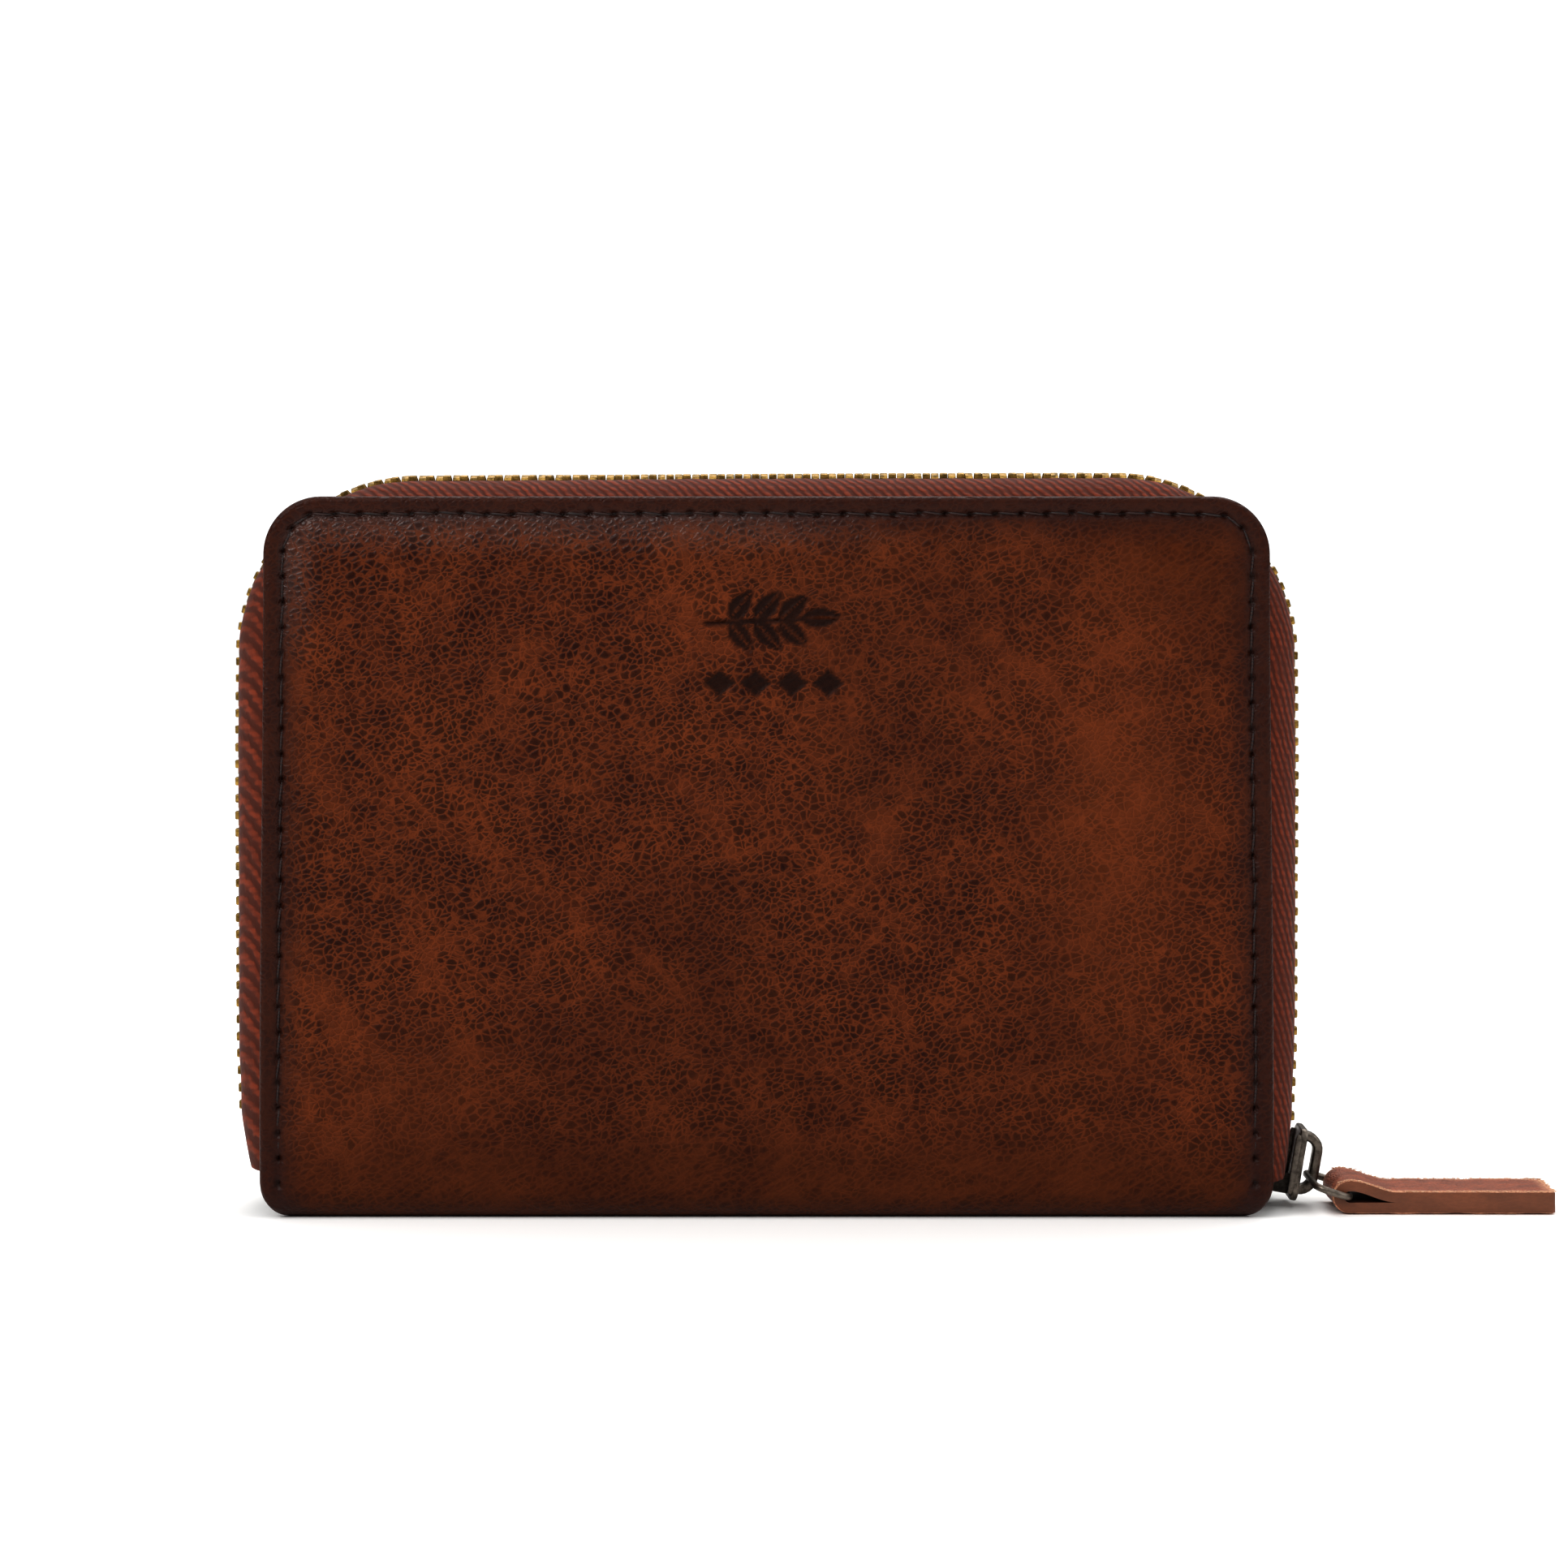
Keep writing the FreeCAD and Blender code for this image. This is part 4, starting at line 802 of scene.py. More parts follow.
    left = [indices[i][0] for i in range(shape[0])]
    right = [indices[i][-1] for i in range(shape[0])]
    top = [indices[-1][k] for k in range(1, shape[1] - 1)]
    edge = right + top[::-1] + left[::-1]
    flat_index = {}
    outline = []
    for k in edge:
        i, j = divmod(k, shape[1])
        y, zz, oy, oz, w = rows[i]
        at = base[i][j]
        if zz > COVER_HIGH.z - s.corner and abs(at[0]) > abs(spread[-1]) * (w - 1e-9):
            cx = math.copysign(SPINE_HIGH.x - s.flare * float(smooth(zz, s.foot_long, COVER_HIGH.z)) - s.corner, at[0])
            away = Vector((at[0] - cx, 0, at[2] - COVER_HIGH.z + s.corner)).normalized()
        elif i == shape[0] - 1:
            away = Vector((0, 0, 1))
        else:
            away = Vector((math.copysign(1, at[0]), 0, 0))
        outline.append((Vector(at), Vector((0, oy, oz)), away, float(smooth(zz, 3.5 * MM, 9 * MM)) if oz > -0.5 else 0.0))
    crowd = len(shell.points)
    thin = 1.2 * MM
    rings = []
    for inward, share in ((0, 0.5), (0, 0.86), (0.12, 0.96), (0.4, 1.0), (1.0, 1.0)):
        ring = []
        for at, normal, away, grown in outline:
            deep = thin + (s.rim_depth - thin) * grown
            start = r
            level = start + (deep - start) * share if share < 0.9 else deep * share
            ring.append(at - normal * level - away * (inward * s.rim_width))
        rings.append(shell.add(ring))
    ring = []
    for at, normal, away, grown in outline:
        ring.append(at - normal * thin - away * s.rim_width)
    rings.append(shell.add(ring))
    shell.bands([edge] + rings)
    last = rings[-1]
    count = len(left)
    across = len(top)
    for i in range(count - 1):
        a, b = last[i], last[i + 1]
        c, d = last[-1 - i - 1], last[-1 - i]
        if i < count - 2:
            shell.face((a, b, c, d))
        else:
            shell.face([a, b] + last[count:count + across] + [c, d])
    start_ring = [indices[0][k] for k in range(shape[1])]
    foot = [r_[0] for r_ in rings]
    foot_left = [r_[-1] for r_ in rings]
    shell.face(start_ring[::-1] + foot_left + foot[::-1])
    extra = len(shell.points) - crowd
    for label in marks:
        fill = np.full(extra, {"rim": 1.0, "calm": 0.9}.get(label, 0.0))
        marks[label] = np.concatenate([marks[label], fill])
    shell.marks = marks
    if side > 0:
        shell.points = [(px, -py, pz) for px, py, pz in shell.points]
    skin = shell.finish(f"{word}_skin_leather", paint("cover"), sharp=60)
    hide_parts(f"{word}_cover_leather", *(["spine_leather"] if side < 0 else []))
    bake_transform(skin)
    return skin


def cover_stitches(side, word):
    """Separate sewn stitches between the needle holes, each a little slanted and sunk at both ends."""
    s = sizes()
    holes = needle_holes(side)
    shell = Shell()
    face_y = side * (SPINE_HIGH.y + 0.02 * MM)
    pick = random.Random(5 + side)
    for (ax, az, *_), (bx, bz, *_) in zip(holes, holes[1:]):
        a, b = Vector((ax, face_y, az)), Vector((bx, face_y, bz))
        along = (b - a).normalized()
        across = along.cross(Vector((0, 1, 0)))
        lean = pick.uniform(0.08, 0.2) * MM
        points, radii = [], []
        for i in range(9):
            t = i / 8
            rise = (0.14 * math.sin(math.pi * t) - 0.6 * (abs(t - 0.5) * 2) ** 4) * MM - 0.62 * MM
            points.append(a.lerp(b, 0.05 + 0.9 * t) + across * (lean * (0.5 - t) * 2) + Vector((0, side * rise, 0)))
            radii.append(s.thread / 2 * (0.75 + 0.25 * math.sin(math.pi * t)))
        tube(shell, points, radii, sides=7)
    obj = shell.finish(f"{word}_seam_thread", paint("thread"), sharp=60)
    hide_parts(f"{word}_cover_stitching")
    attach(obj, f"{word}_cover")


# ---------------------------------------------------------------- zip
def chain_shift(x, z):
    """How far the zip stands out from its path: a little at the sides, and in at its feet behind the covers."""
    foot = max(0.0, (14 * MM - z) / (9 * MM))
    swell = 0.35 * MM * float(smooth(z, 12 * MM, 26 * MM)) * (1 - float(smooth(z, 60 * MM, 92 * MM)))
    sag = 0.4 * MM * float(smooth(z, 92 * MM, 101 * MM)) * float(smooth(x, 40 * MM, -70 * MM))
    return swell - sag - (1.7 if x < 0 else 0.9) * MM * min(foot, 1.2) ** 1.6


def chain_path():
    """The chain's half width, top, corner radius and the tape's lowest points at the right and left."""
    thin = 0.3 * MM
    return TAPE_HIGH.x - thin, TAPE_HIGH.z - thin, sizes().chain_corner, TAPE_LOW.z, TAPE_LOW.z + 1.6 * MM


def tape_profile():
    """Across a tape's outer face from the chain to its hidden hem: (in or out of the chain's plane, distance to the back)."""
    return [(0.02, 1.15), (0.14, 1.3), (0.10, 1.75), (0.16, 2.75), (0.46, 3.3), (0.5, 4.3), (0.14, 5.5), (-0.45, 6.8),
            (-1.2, 7.8), (-1.95, 8.75), (-2.8, 9.5), (-3.7, 10.05), (-5.0, 10.32), (-8.6, 10.4)]


def zip_tape(side, word):
    half, top, corner, low_right, low_left = chain_path()
    shell = Shell()
    thick = 0.42 * MM
    profile = tape_profile()
    rows = []
    stations = arch(half, top, corner, low_right, low_left, 1.0 * MM)
    for i, (x, z, ox, oz, run) in enumerate(stations):
        pucker = math.sin(run / (3.5 * MM) * 2 * math.pi / 2.1) * 0.07 + math.sin(run / (11 * MM) + side) * 0.09
        lean = chain_shift(x, z)
        upper, under = [], []
        for k, (n, y) in enumerate(profile):
            share = min(k / 9, 1.0) * (1 if k < 12 else 0)
            level = n * MM + pucker * MM * share + lean * max(0.0, 1 - max(0, k - 5) / 5)
            flat = side * y * MM
            upper.append((x + ox * level, flat, z + oz * level))
            inner = level - thick
            under.append((x + ox * inner, flat - side * 0.1 * MM * (k > 5), z + oz * inner))
        rows.append(shell.add(upper + under[::-1]))
    shell.bands(rows, ring=True)
    shell.face(reversed(rows[0]))
    shell.face(rows[-1])
    cords = Shell()
    obj = shell.finish(f"zip_tape_woven_{word}", paint("tape"), sharp=50)
    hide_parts(f"zip_tape_{word}")
    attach(obj, f"{word}_cover")
    for offset in (0.0,):
        line = [(x + ox * (0.1 * MM + chain_shift(x, z)), side * 1.2 * MM, z + oz * (0.1 * MM + chain_shift(x, z)))
                for x, z, ox, oz, run in stations]
        tube(cords, line, 0.36 * MM, sides=8)
    cord = cords.finish(f"zip_tape_bead_{word}", paint("tape"), sharp=60)
    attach(cord, f"{word}_cover")


def add_tooth(shell, place, along, outward, across, scale=1.0):
    """A stamped tooth: jaws clamped on the tape's bead, a waist, and a head with a hollow that locks on the next."""
    outline = [(-2.75, -1.05), (-2.3, -1.2), (-1.2, -1.25), (-0.3, -0.98), (0.35, -0.86), (0.72, -0.5),
               (0.78, 0.0), (0.72, 0.5), (0.35, 0.86), (-0.3, 0.98), (-1.2, 1.25), (-2.3, 1.2), (-2.75, 1.05)]
    outline = [(w * MM * scale, n * MM * scale) for w, n in outline]

    def set_in(w, n, level):
        return place + across * w + outward * n + along * level

    prism(shell, outline, -0.54 * MM * scale, 0.54 * MM * scale, 0.13 * MM * scale, set_in)
    nib = [(w * 0.34 + 0.28 * MM * scale, n * 0.34) for w, n in outline]
    prism(shell, nib, 0.5 * MM * scale, 0.72 * MM * scale, 0.06 * MM * scale, set_in)


def zip_teeth(side, word):
    low, high = box(f"zip_teeth_{word}")
    half, top, corner, *_ = chain_path()
    pitch = sizes().tooth_pitch
    low_right = 12.25 * MM
    low_left = 12.6 * MM
    total = arch(half, top, corner, low_right, low_left, 1 * MM)[-1][4]
    run = 0.6 * MM if side < 0 else 0.6 * MM + pitch / 2
    shell = Shell()
    pick = random.Random(3 + side)
    while run <= total - 0.6 * MM:
        x, z, ox, oz = arch_at(half, top, corner, low_right, run)
        lean = chain_shift(x, z)
        outward = Vector((ox, 0, oz))
        along = Vector((-oz, 0, ox))
        twist = Matrix.Rotation(pick.uniform(-0.03, 0.03), 3, outward)
        place = Vector((x, 0, z)) + outward * (lean + pick.uniform(-0.03, 0.03) * MM)
        add_tooth(shell, place, twist @ along, outward, twist @ Vector((0, -side, 0)))
        run += pitch
    obj = shell.finish(f"zip_teeth_stamped_{word}", paint("brass"), sharp=28)
    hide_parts(f"zip_teeth_{word}")
    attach(obj, f"{word}_cover")


def zip_stops():
    """A folded top stop on each tape's end by the slider, and the bottom stop that joins both tapes."""
    half = chain_path()[0]
    for side, word in ((-1, "front"), (1, "back")):
        low, high = box(f"zip_top_stop_{word}")
        shell = Shell()
        middle = (low + high) / 2
        lean = chain_shift(1, middle.z)
        outline = round_box((high.y - low.y) / 2, (high.z - low.z) / 2, 0.3 * MM)
        prism(shell, outline, low.x + lean - 0.15 * MM, high.x + lean, 0.12 * MM,
              lambda a, b, c, m=middle: Vector((c, m.y + a, m.z + b)))
        obj = shell.finish(f"zip_top_stop_folded_{word}", paint("brass"), sharp=30)
        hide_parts(f"zip_top_stop_{word}")
        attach(obj, f"{word}_cover")
    low, high = box("zip_bottom_stop")
    middle = (low + high) / 2
    lean = -chain_shift(-1, middle.z)
    shell = Shell()
    prism(shell, round_box((high.y - low.y) / 2, (high.z - low.z) / 2 + 0.3 * MM, 0.5 * MM), low.x + lean,
          high.x + lean, 0.2 * MM, lambda a, b, c: Vector((c, middle.y + a, middle.z + b)))
    obj = shell.finish("zip_bottom_stop_stamped", paint("brass"), sharp=30)
    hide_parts("zip_bottom_stop")
    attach(obj, "back_cover")


# ---------------------------------------------------------------- slider, link and puller
def slider_place(low, high, lean):
    """A function from a slider's own (out, across, up) to the frame, with the slider leaning in at its foot."""
    middle = (low + high) / 2
    turn = math.radians(lean)

    def place(out, across, up):
        return Vector((middle.x + out * math.cos(turn) + up * math.sin(turn), middle.y + across,
                       middle.z - out * math.sin(turn) + up * math.cos(turn)))

    return place


def blade_outline(half_top, half_wide, half_long):
    """A slider blade seen along its own out axis, as (across, up): narrow at the top and broad at the mouth."""
    lower = arc((half_wide - 1.5 * MM, 1.5 * MM - half_long), 1.5 * MM, -90, 0, 5)
    upper = arc((half_top - 1.4 * MM, half_long - 1.4 * MM), 1.4 * MM, 0, 90, 5)
    right = lower + upper
    return right + [(-a, b) for a, b in reversed(right)]


def add_slider(shell, place, half_top, half_wide, half_long, channel, blade, lip):
    """Two blades, the lips that turn in from both, and the post between them at the mouth end's middle."""
    outline = blade_outline(half_top, half_wide, half_long)
    for turn in (-1, 1):
        low, high = (channel, channel + blade) if turn > 0 else (-channel - blade, -channel)
        prism(shell, outline, low, high, 0.28 * blade, lambda a, b, c: place(c, a, b))
        rim = 0.85 * MM * half_wide / (4.6 * MM)
        for edge in (-1, 1):
            count = 12
            rows = []
            for i in range(count + 1):
                t = i / count
                up = -half_long + 1.0 * MM * half_long / (5 * MM) + t * (2 * half_long - 1.9 * MM * half_long / (5 * MM))
                wide = half_wide + (half_top - half_wide) * t - rim * 0.52
                section = round_box(rim / 2, (channel - lip + 0.3 * blade) / 2, 0.2 * rim, 2)
                mid = (channel + lip + 0.3 * blade) / 2
                shrink = 0.6 if i in (0, count) else 1.0
                rows.append(shell.add(place(turn * (mid + b * shrink), edge * wide + a * shrink, up) for a, b in section))
            shell.bands(rows, ring=True)
            shell.face(reversed(rows[0]))
            shell.face(rows[-1])
    post = [(0.0, -half_long + 0.35 * MM), (0.16 * half_wide, -0.62 * half_long), (0.0, -0.36 * half_long),
            (-0.16 * half_wide, -0.62 * half_long)]
    prism(shell, post, -channel - 0.1 * MM, channel + 0.1 * MM, 0.05 * MM, lambda a, b, c: place(c, a, b))


def add_crown(shell, place, root, reach, half_long, band, thick, bend):
    """A D-shaped bail on the outer blade: a flat band bent over in a loop, its feet set into the blade."""
    near, far = root - 0.1 * MM, root + reach - band / 2
    inner_half = half_long - band / 2
    path = [(near, -inner_half)]
    path += arc((far - bend, -inner_half + bend), bend, -90, 0, 6)
    path += arc((far - bend, inner_half - bend), bend, 0, 90, 6)
    path += [(near, inner_half)]
    section = round_box(band / 2, thick / 2, 0.3 * band, 3)
    rows = []
    count = len(path)
    for i, (out, up) in enumerate(path):
        a, b = path[max(i - 1, 0)], path[min(i + 1, count - 1)]
        along = Vector((b[0] - a[0], b[1] - a[1])).normalized()
        normal = Vector((along.y, -along.x))
        rows.append(shell.add(place(out + normal.x * p, q, up + normal.y * p) for p, q in section))
    shell.bands(rows, ring=True)
    shell.face(reversed(rows[0]))
    shell.face(rows[-1])
    shell_foot = round_box(0.34 * MM, thick / 2, 0.2 * MM, 2)
    rows = [shell.add(place(root + 0.12 * MM + p, q, up) for p, q in shell_foot) for up in (-inner_half, inner_half)]
    shell.bands(rows, ring=True)


def main_slider():
    low, high = box("slider_body")
    inward = Vector((0.35 * MM, 0, 0))
    place = slider_place(low - inward, high - inward, 10.0)
    shell = Shell()
    add_slider(shell, place, 3.9 * MM, 4.6 * MM, 5.1 * MM, 1.75 * MM, 1.0 * MM, 1.15 * MM)
    body = shell.finish("slider_body_cast", paint("nickel"), sharp=40)
    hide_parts("slider_body")
    shell = Shell()
    add_crown(shell, place, 2.75 * MM, 2.9 * MM, 4.5 * MM, 1.35 * MM, 2.2 * MM, 1.9 * MM)
    crown = shell.finish("slider_crown_bent", paint("nickel"), sharp=40)
    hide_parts("slider_crown")
    for obj in (body, crown):
        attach(obj, "slider")


def pull_link():
    """A bent wire ring, its ends butted on the bar that runs through the crown."""
    pivot = Vector(JOINTS["pull_link_swing"]["pos_m"])
    far = Vector(JOINTS["puller_swing"]["pos_m"])
    low, high = box("pull_link")
    wire_half = 0.5 * MM
    half = (high.y - low.y) / 2 - wire_half
    out = far - pivot
    long = out.length
    out.normalize()
    corner_near, corner_far = 2.0 * MM, 1.6 * MM
    flat = []
    for at, reach, corner, start in ((corner_near, 1, corner_near, 180), (long - corner_far, 1, corner_far, 90),
                                     (long - corner_far, -1, corner_far, 0), (corner_near, -1, corner_near, -90)):
        flat += arc((at, reach * (half - corner)), corner, start, start - 90, 6)
    shell = Shell()
    tube(shell, [pivot + out * u + Vector((0, v, 0)) for u, v in flat], wire_half, sides=14, closed=True)
    obj = shell.finish("pull_link_wire", paint("nickel"), sharp=60)
    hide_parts("pull_link")
    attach(obj, "pull_link")


def puller():
    """A leather strip folded round the link, its plies glued, its cut edges painted and its grain edges rubbed."""
    pivot = Vector(JOINTS["puller_swing"]["pos_m"])
    low, high = box("leather_puller")
    ply = 1.55 * MM
    loop = pivot.x - low.x
    half = (high.y - low.y) / 2
    bottom, reach, wedge = low.z - pivot.z, high.x - pivot.x, 6.6 * MM
    bulge = loop - ply / 2
    upper = bottom + 1.5 * ply
    path = [(reach * (1 - t) + wedge * t, bottom + ply / 2) for t in (0, 0.006, 0.016, *np.linspace(0.04, 1, 22))]
    path += [(wedge * (1 - i / 8), bottom + ply / 2) for i in range(1, 8)]
    path += [(bulge * math.cos(t), bulge * math.sin(t)) for t in np.radians(np.linspace(-90, -270, 15))]
    path += [(wedge * t, bulge - (bulge - upper) * float(smooth(t, 0.02, 1.0))) for t in np.linspace(0.1, 0.9, 9)]
    path += [(wedge * (1 - t) + reach * t, upper) for t in (*np.linspace(0, 0.96, 22), 0.984, 0.994, 1)]
    pick = random.Random(17)
    soft = 0.28 * MM
    rounded = arc((half - soft, ply / 2 - soft), soft, 0, 90, 3)
    across = [(half - soft) * (1 - 2 * i / 15) for i in range(1, 15)]
    section = [(half, -ply / 2), (half + 0.05 * MM, 0.0)] + rounded + [(a, ply / 2) for a in across]
    section += [(-a, b) for a, b in reversed(rounded)] + [(-half - 0.05 * MM, 0.0), (-half, -ply / 2)]
    shell = Shell()
    rows, worn = [], []
    last = len(path) - 1
    for i, (u, v) in enumerate(path):
        a, b = path[max(i - 1, 0)], path[min(i + 1, last)]
        along = Vector((b[0] - a[0], b[1] - a[1])).normalized()
        end_gap = min(i, last - i)
        narrow = (0.93, 0.975, 0.995)[end_gap] if end_gap < 3 else 1.0
        row = []
        for p, q in section:
            worn.append(float(smooth(abs(p), half - 1.3 * MM, half - 0.3 * MM)) if q > soft else 0.0)
            lift = q
            if q > ply / 2 - soft * 0.5:
                ripple = math.sin(u / (1.9 * MM) + 3 * p / half) + math.sin(u / (0.8 * MM) - 5 * p / half)
                lift += (0.035 * ripple + pick.uniform(-0.03, 0.03)) * MM - (0.25, 0.1, 0.02, 0)[min(end_gap, 3)] * MM
                worn[-1] = max(worn[-1], float(smooth(u, reach - 1.6 * MM, reach - 0.3 * MM)))
            bend = 0.05 * MM * math.sin(u / (6 * MM))
            row.append(pivot + Vector((u - along.y * lift, p * narrow + bend, v + along.x * lift)))
        rows.append(shell.add(row))
    joined = [i for i, (u, v) in enumerate(path) if u >= wedge - 1e-6]
    for i, (a, b) in enumerate(zip(rows, rows[1:])):
        glued = i in joined and i + 1 in joined
        for k in range(len(section) if not glued else len(section) - 1):
            m = (k + 1) % len(section)
            side = k < 3 or len(section) - 4 <= k < len(section) - 1
            shell.face((a[k], a[m], b[m], b[k]), 1 if side else 2 if m == 0 else 0)
    shell.face(reversed(rows[0]), 1)
    shell.face(rows[-1], 1)
    shell.marks = {"worn": worn}
    strip = shell.finish("puller_strip_folded", [paint("puller"), paint("edge"), paint("inner")], sharp=42, merge=1e-7)
    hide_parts("leather_puller")
    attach(strip, "puller")
    fibres = Shell()

    def top_at(u):
        return bulge - (bulge - upper) * float(smooth(u / wedge, 0.02, 1.0)) + ply / 2

    for _ in range(620):
        u = pick.uniform(-1.5 * MM, reach)
        turn = pick.choice((-1, 1))
        place = Vector((u, turn * (half - pick.uniform(0.02, 0.35) * MM), top_at(max(u, 0.0)) - 0.06 * MM))
        if u < 0:
            place.z -= 0.5 * u * u / loop
        if pick.random() < 0.2:
            place = Vector((reach - pick.uniform(0.1, 0.5) * MM, pick.uniform(-half, half), top_at(reach) - 0.1 * MM))
        tip = Vector((pick.uniform(-0.6, 0.6), turn * pick.uniform(-0.1, 0.12), pick.uniform(0.02, 0.17))) * MM
        middle = place + tip / 2 + Vector((0, 0, pick.uniform(0.02, 0.1) * MM))
        thick = pick.uniform(0.03, 0.065) * MM
        tube(fibres, [pivot + q for q in (place, middle, place + tip)], [thick, thick * 0.8, thick * 0.3], sides=4)
    fuzz = fibres.finish("puller_edge_fibres", paint("fibre"), sharp=180)
    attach(fuzz, "puller")


def loose_fibre():
    """Raised hide fibres along a worn edge: pale, dry and fine."""
    made, tree, shader = material("hide_fibre_raised")
    speck = node(tree, "TexNoise", None, {"Vector": body_coordinates(tree), "Scale": 900.0})
    tone = blend_colour(tree, (speck, "Fac"), to_linear("#b0764f"), to_linear("#ecc7a6"))
    wire(tree, shader, {"Base Color": tone, "Roughness": 0.8, "Sheen Weight": 0.3})
    return made


MAKERS["fibre"] = loose_fibre


# ---------------------------------------------------------------- inside
def soft_panel(name, low, high, paint_name, seam=False, bulge=0.0):
    """A thin leather panel between two corners, facing along Y, with rounded edges."""
    middle = (low + high) / 2
    half = (high - low) / 2
    outline = round_box(half.x, half.z, 1.6 * MM, 4)
    shell = Shell()
    prism(shell, outline, low.y, high.y, min(0.22 * MM, half.y * 0.6),
          lambda a, b, c: Vector((middle.x + a, c, middle.z + b)))
    return shell.finish(name, paint(paint_name), sharp=40)


def card_slots(side, word):
    """Three stepped slots: each a folded leather strip with a creased lip and a pair of mouths parted by a seam."""
    pick = random.Random(23 + side)
    for step in (1, 2, 3):
        low, high = box(f"{word}_card_slot_{step}")
        shell = Shell()
        columns, rows_up = 66, 26
        face = low.y if side > 0 else high.y
        back = high.y if side > 0 else low.y
        front_points = []
        for i in range(rows_up + 1):
            z = low.z + (high.z - low.z) * i / rows_up
            row = []
            for k in range(columns + 1):
                x = low.x + (high.x - low.x) * k / columns
                lane = abs(abs(x) - high.x / 2) / (high.x / 2)
                lip = max(0.0, 1 - (high.z - z) / (9 * MM))
                sag = (1 - lane ** 2) * lip ** 2
                dip = 0.0 if i < rows_up else 0.9 * MM * (1 - lane ** 2)
                y = face + side * (0.1 * MM * (1 - sag)) - side * 0.02 * MM * math.sin(k * 0.9 + step) * sag
                row.append((x, y, z - dip))
            front_points.append(shell.add(row))
        back_points = [shell.add([(low.x + (high.x - low.x) * k / columns, back, low.z + (high.z - low.z) * i / rows_up
                                   - (0.9 * MM * (1 - (abs(abs(low.x + (high.x - low.x) * k / columns) - high.x / 2)
                                                       / (high.x / 2)) ** 2) if i == rows_up else 0.0))
                                  for k in range(columns + 1)]) for i in range(rows_up + 1)]
        shell.bands(front_points)
        shell.bands(back_points)
        shell.bands([front_points[0], back_points[0]])
        shell.bands([front_points[-1], back_points[-1]])
        shell.bands([[r[0] for r in front_points], [r[0] for r in back_points]])
        shell.bands([[r[-1] for r in front_points], [r[-1] for r in back_points]])
        obj = shell.finish(f"{word}_card_slot_strip_{step}", paint("inner"), sharp=40)
        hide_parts(f"{word}_card_slot_{step}")
        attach(obj, f"{word}_cover")
        seam = Shell()
        pitch = 3.0 * MM
        count = int((high.x - low.x - 4 * MM) / pitch)
        for k in range(count):
            x = low.x + 2 * MM + pitch * k
            z = high.z - 2.2 * MM
            points = [(x, face + side * 0.05 * MM, z), (x + pitch * 0.2, face - side * 0.12 * MM, z + 0.05 * MM),
                      (x + pitch * 0.6, face - side * 0.12 * MM, z + 0.1 * MM), (x + pitch * 0.8, face + side * 0.05 * MM, z)]
            tube(seam, points, 0.16 * MM, sides=6)
        thread = seam.finish(f"{word}_card_slot_lip_thread_{step}", paint("thread"), sharp=60)
        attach(thread, f"{word}_cover")
    low, high = box(f"{word}_card_stitching")
    seam = Shell()
    pitch = sizes().stitch_pitch
    count = int((high.z - low.z) / pitch)
    face = high.y if side < 0 else low.y
    for k in range(count + 1):
        z = low.z + pitch * k
        y = face
        points = [(0.0, y + side * 0.25 * MM, z), (0.05 * MM, y, z + 0.6 * MM), (0.08 * MM, y, z + 1.9 * MM),
                  (0.1 * MM, y + side * 0.25 * MM, z + 2.5 * MM)]
        tube(seam, points, 0.17 * MM, sides=6)
    thread = seam.finish(f"{word}_card_middle_thread", paint("thread"), sharp=60)
    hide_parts(f"{word}_card_stitching")
    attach(thread, f"{word}_cover")


def gusset(side, word, turn, end):
    """A pleated leather side strip, sewn to the card slots on one edge and to the coin pocket on the other."""
    low, high = box(f"gusset_{word}_{end}")
    near = low.y if side > 0 else high.y
    far = high.y if side > 0 else low.y
    outer = max(abs(low.x), abs(high.x))
    apex = min(abs(low.x), abs(high.x))
    middle = (near + far) / 2
    thick = 0.45 * MM
    shape = [(outer, near + side * 0.3 * MM), ((outer + apex) / 2, near + side * 0.75 * MM),
             (apex + 2.2 * MM, middle - side * 0.35 * MM), (apex + 0.8 * MM, middle),
             (apex + 2.2 * MM, middle + side * 0.35 * MM), ((outer + apex) / 2, far - side * 0.75 * MM),
             (outer, far - side * 0.3 * MM)]
    fine = []
    for (ax, ay), (bx, by) in zip(shape, shape[1:]):
        fine += [(ax + (bx - ax) * i / 5, ay + (by - ay) * i / 5) for i in range(5)]
    fine.append(shape[-1])
    rows = []
    shell = Shell()
    for i in range(23):
        z = low.z + (high.z - low.z) * i / 22
        ripple = 0.12 * MM * math.sin(z / (7 * MM))
        ring = []
        for sign in (1, -1):
            part = []
            for k, (x, y) in enumerate(fine):
                a, b = fine[max(k - 1, 0)], fine[min(k + 1, len(fine) - 1)]
                along = Vector((b[0] - a[0], b[1] - a[1])).normalized()
                off = Vector((-along.y, along.x)) * (sign * thick / 2)
                part.append((turn * (x + off.x), y + off.y + ripple * (0.2 + 0.8 * math.sin(math.pi * k / len(fine))), z))
            ring += part if sign > 0 else part[::-1]
        rows.append(shell.add(ring))
    shell.bands(rows, ring=True)
    shell.face(reversed(rows[0]))
    shell.face(rows[-1])
    obj = shell.finish(f"gusset_pleat_{word}_{end}", paint("inner"), sharp=60)
    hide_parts(f"gusset_{word}_{end}")
    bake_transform(obj)


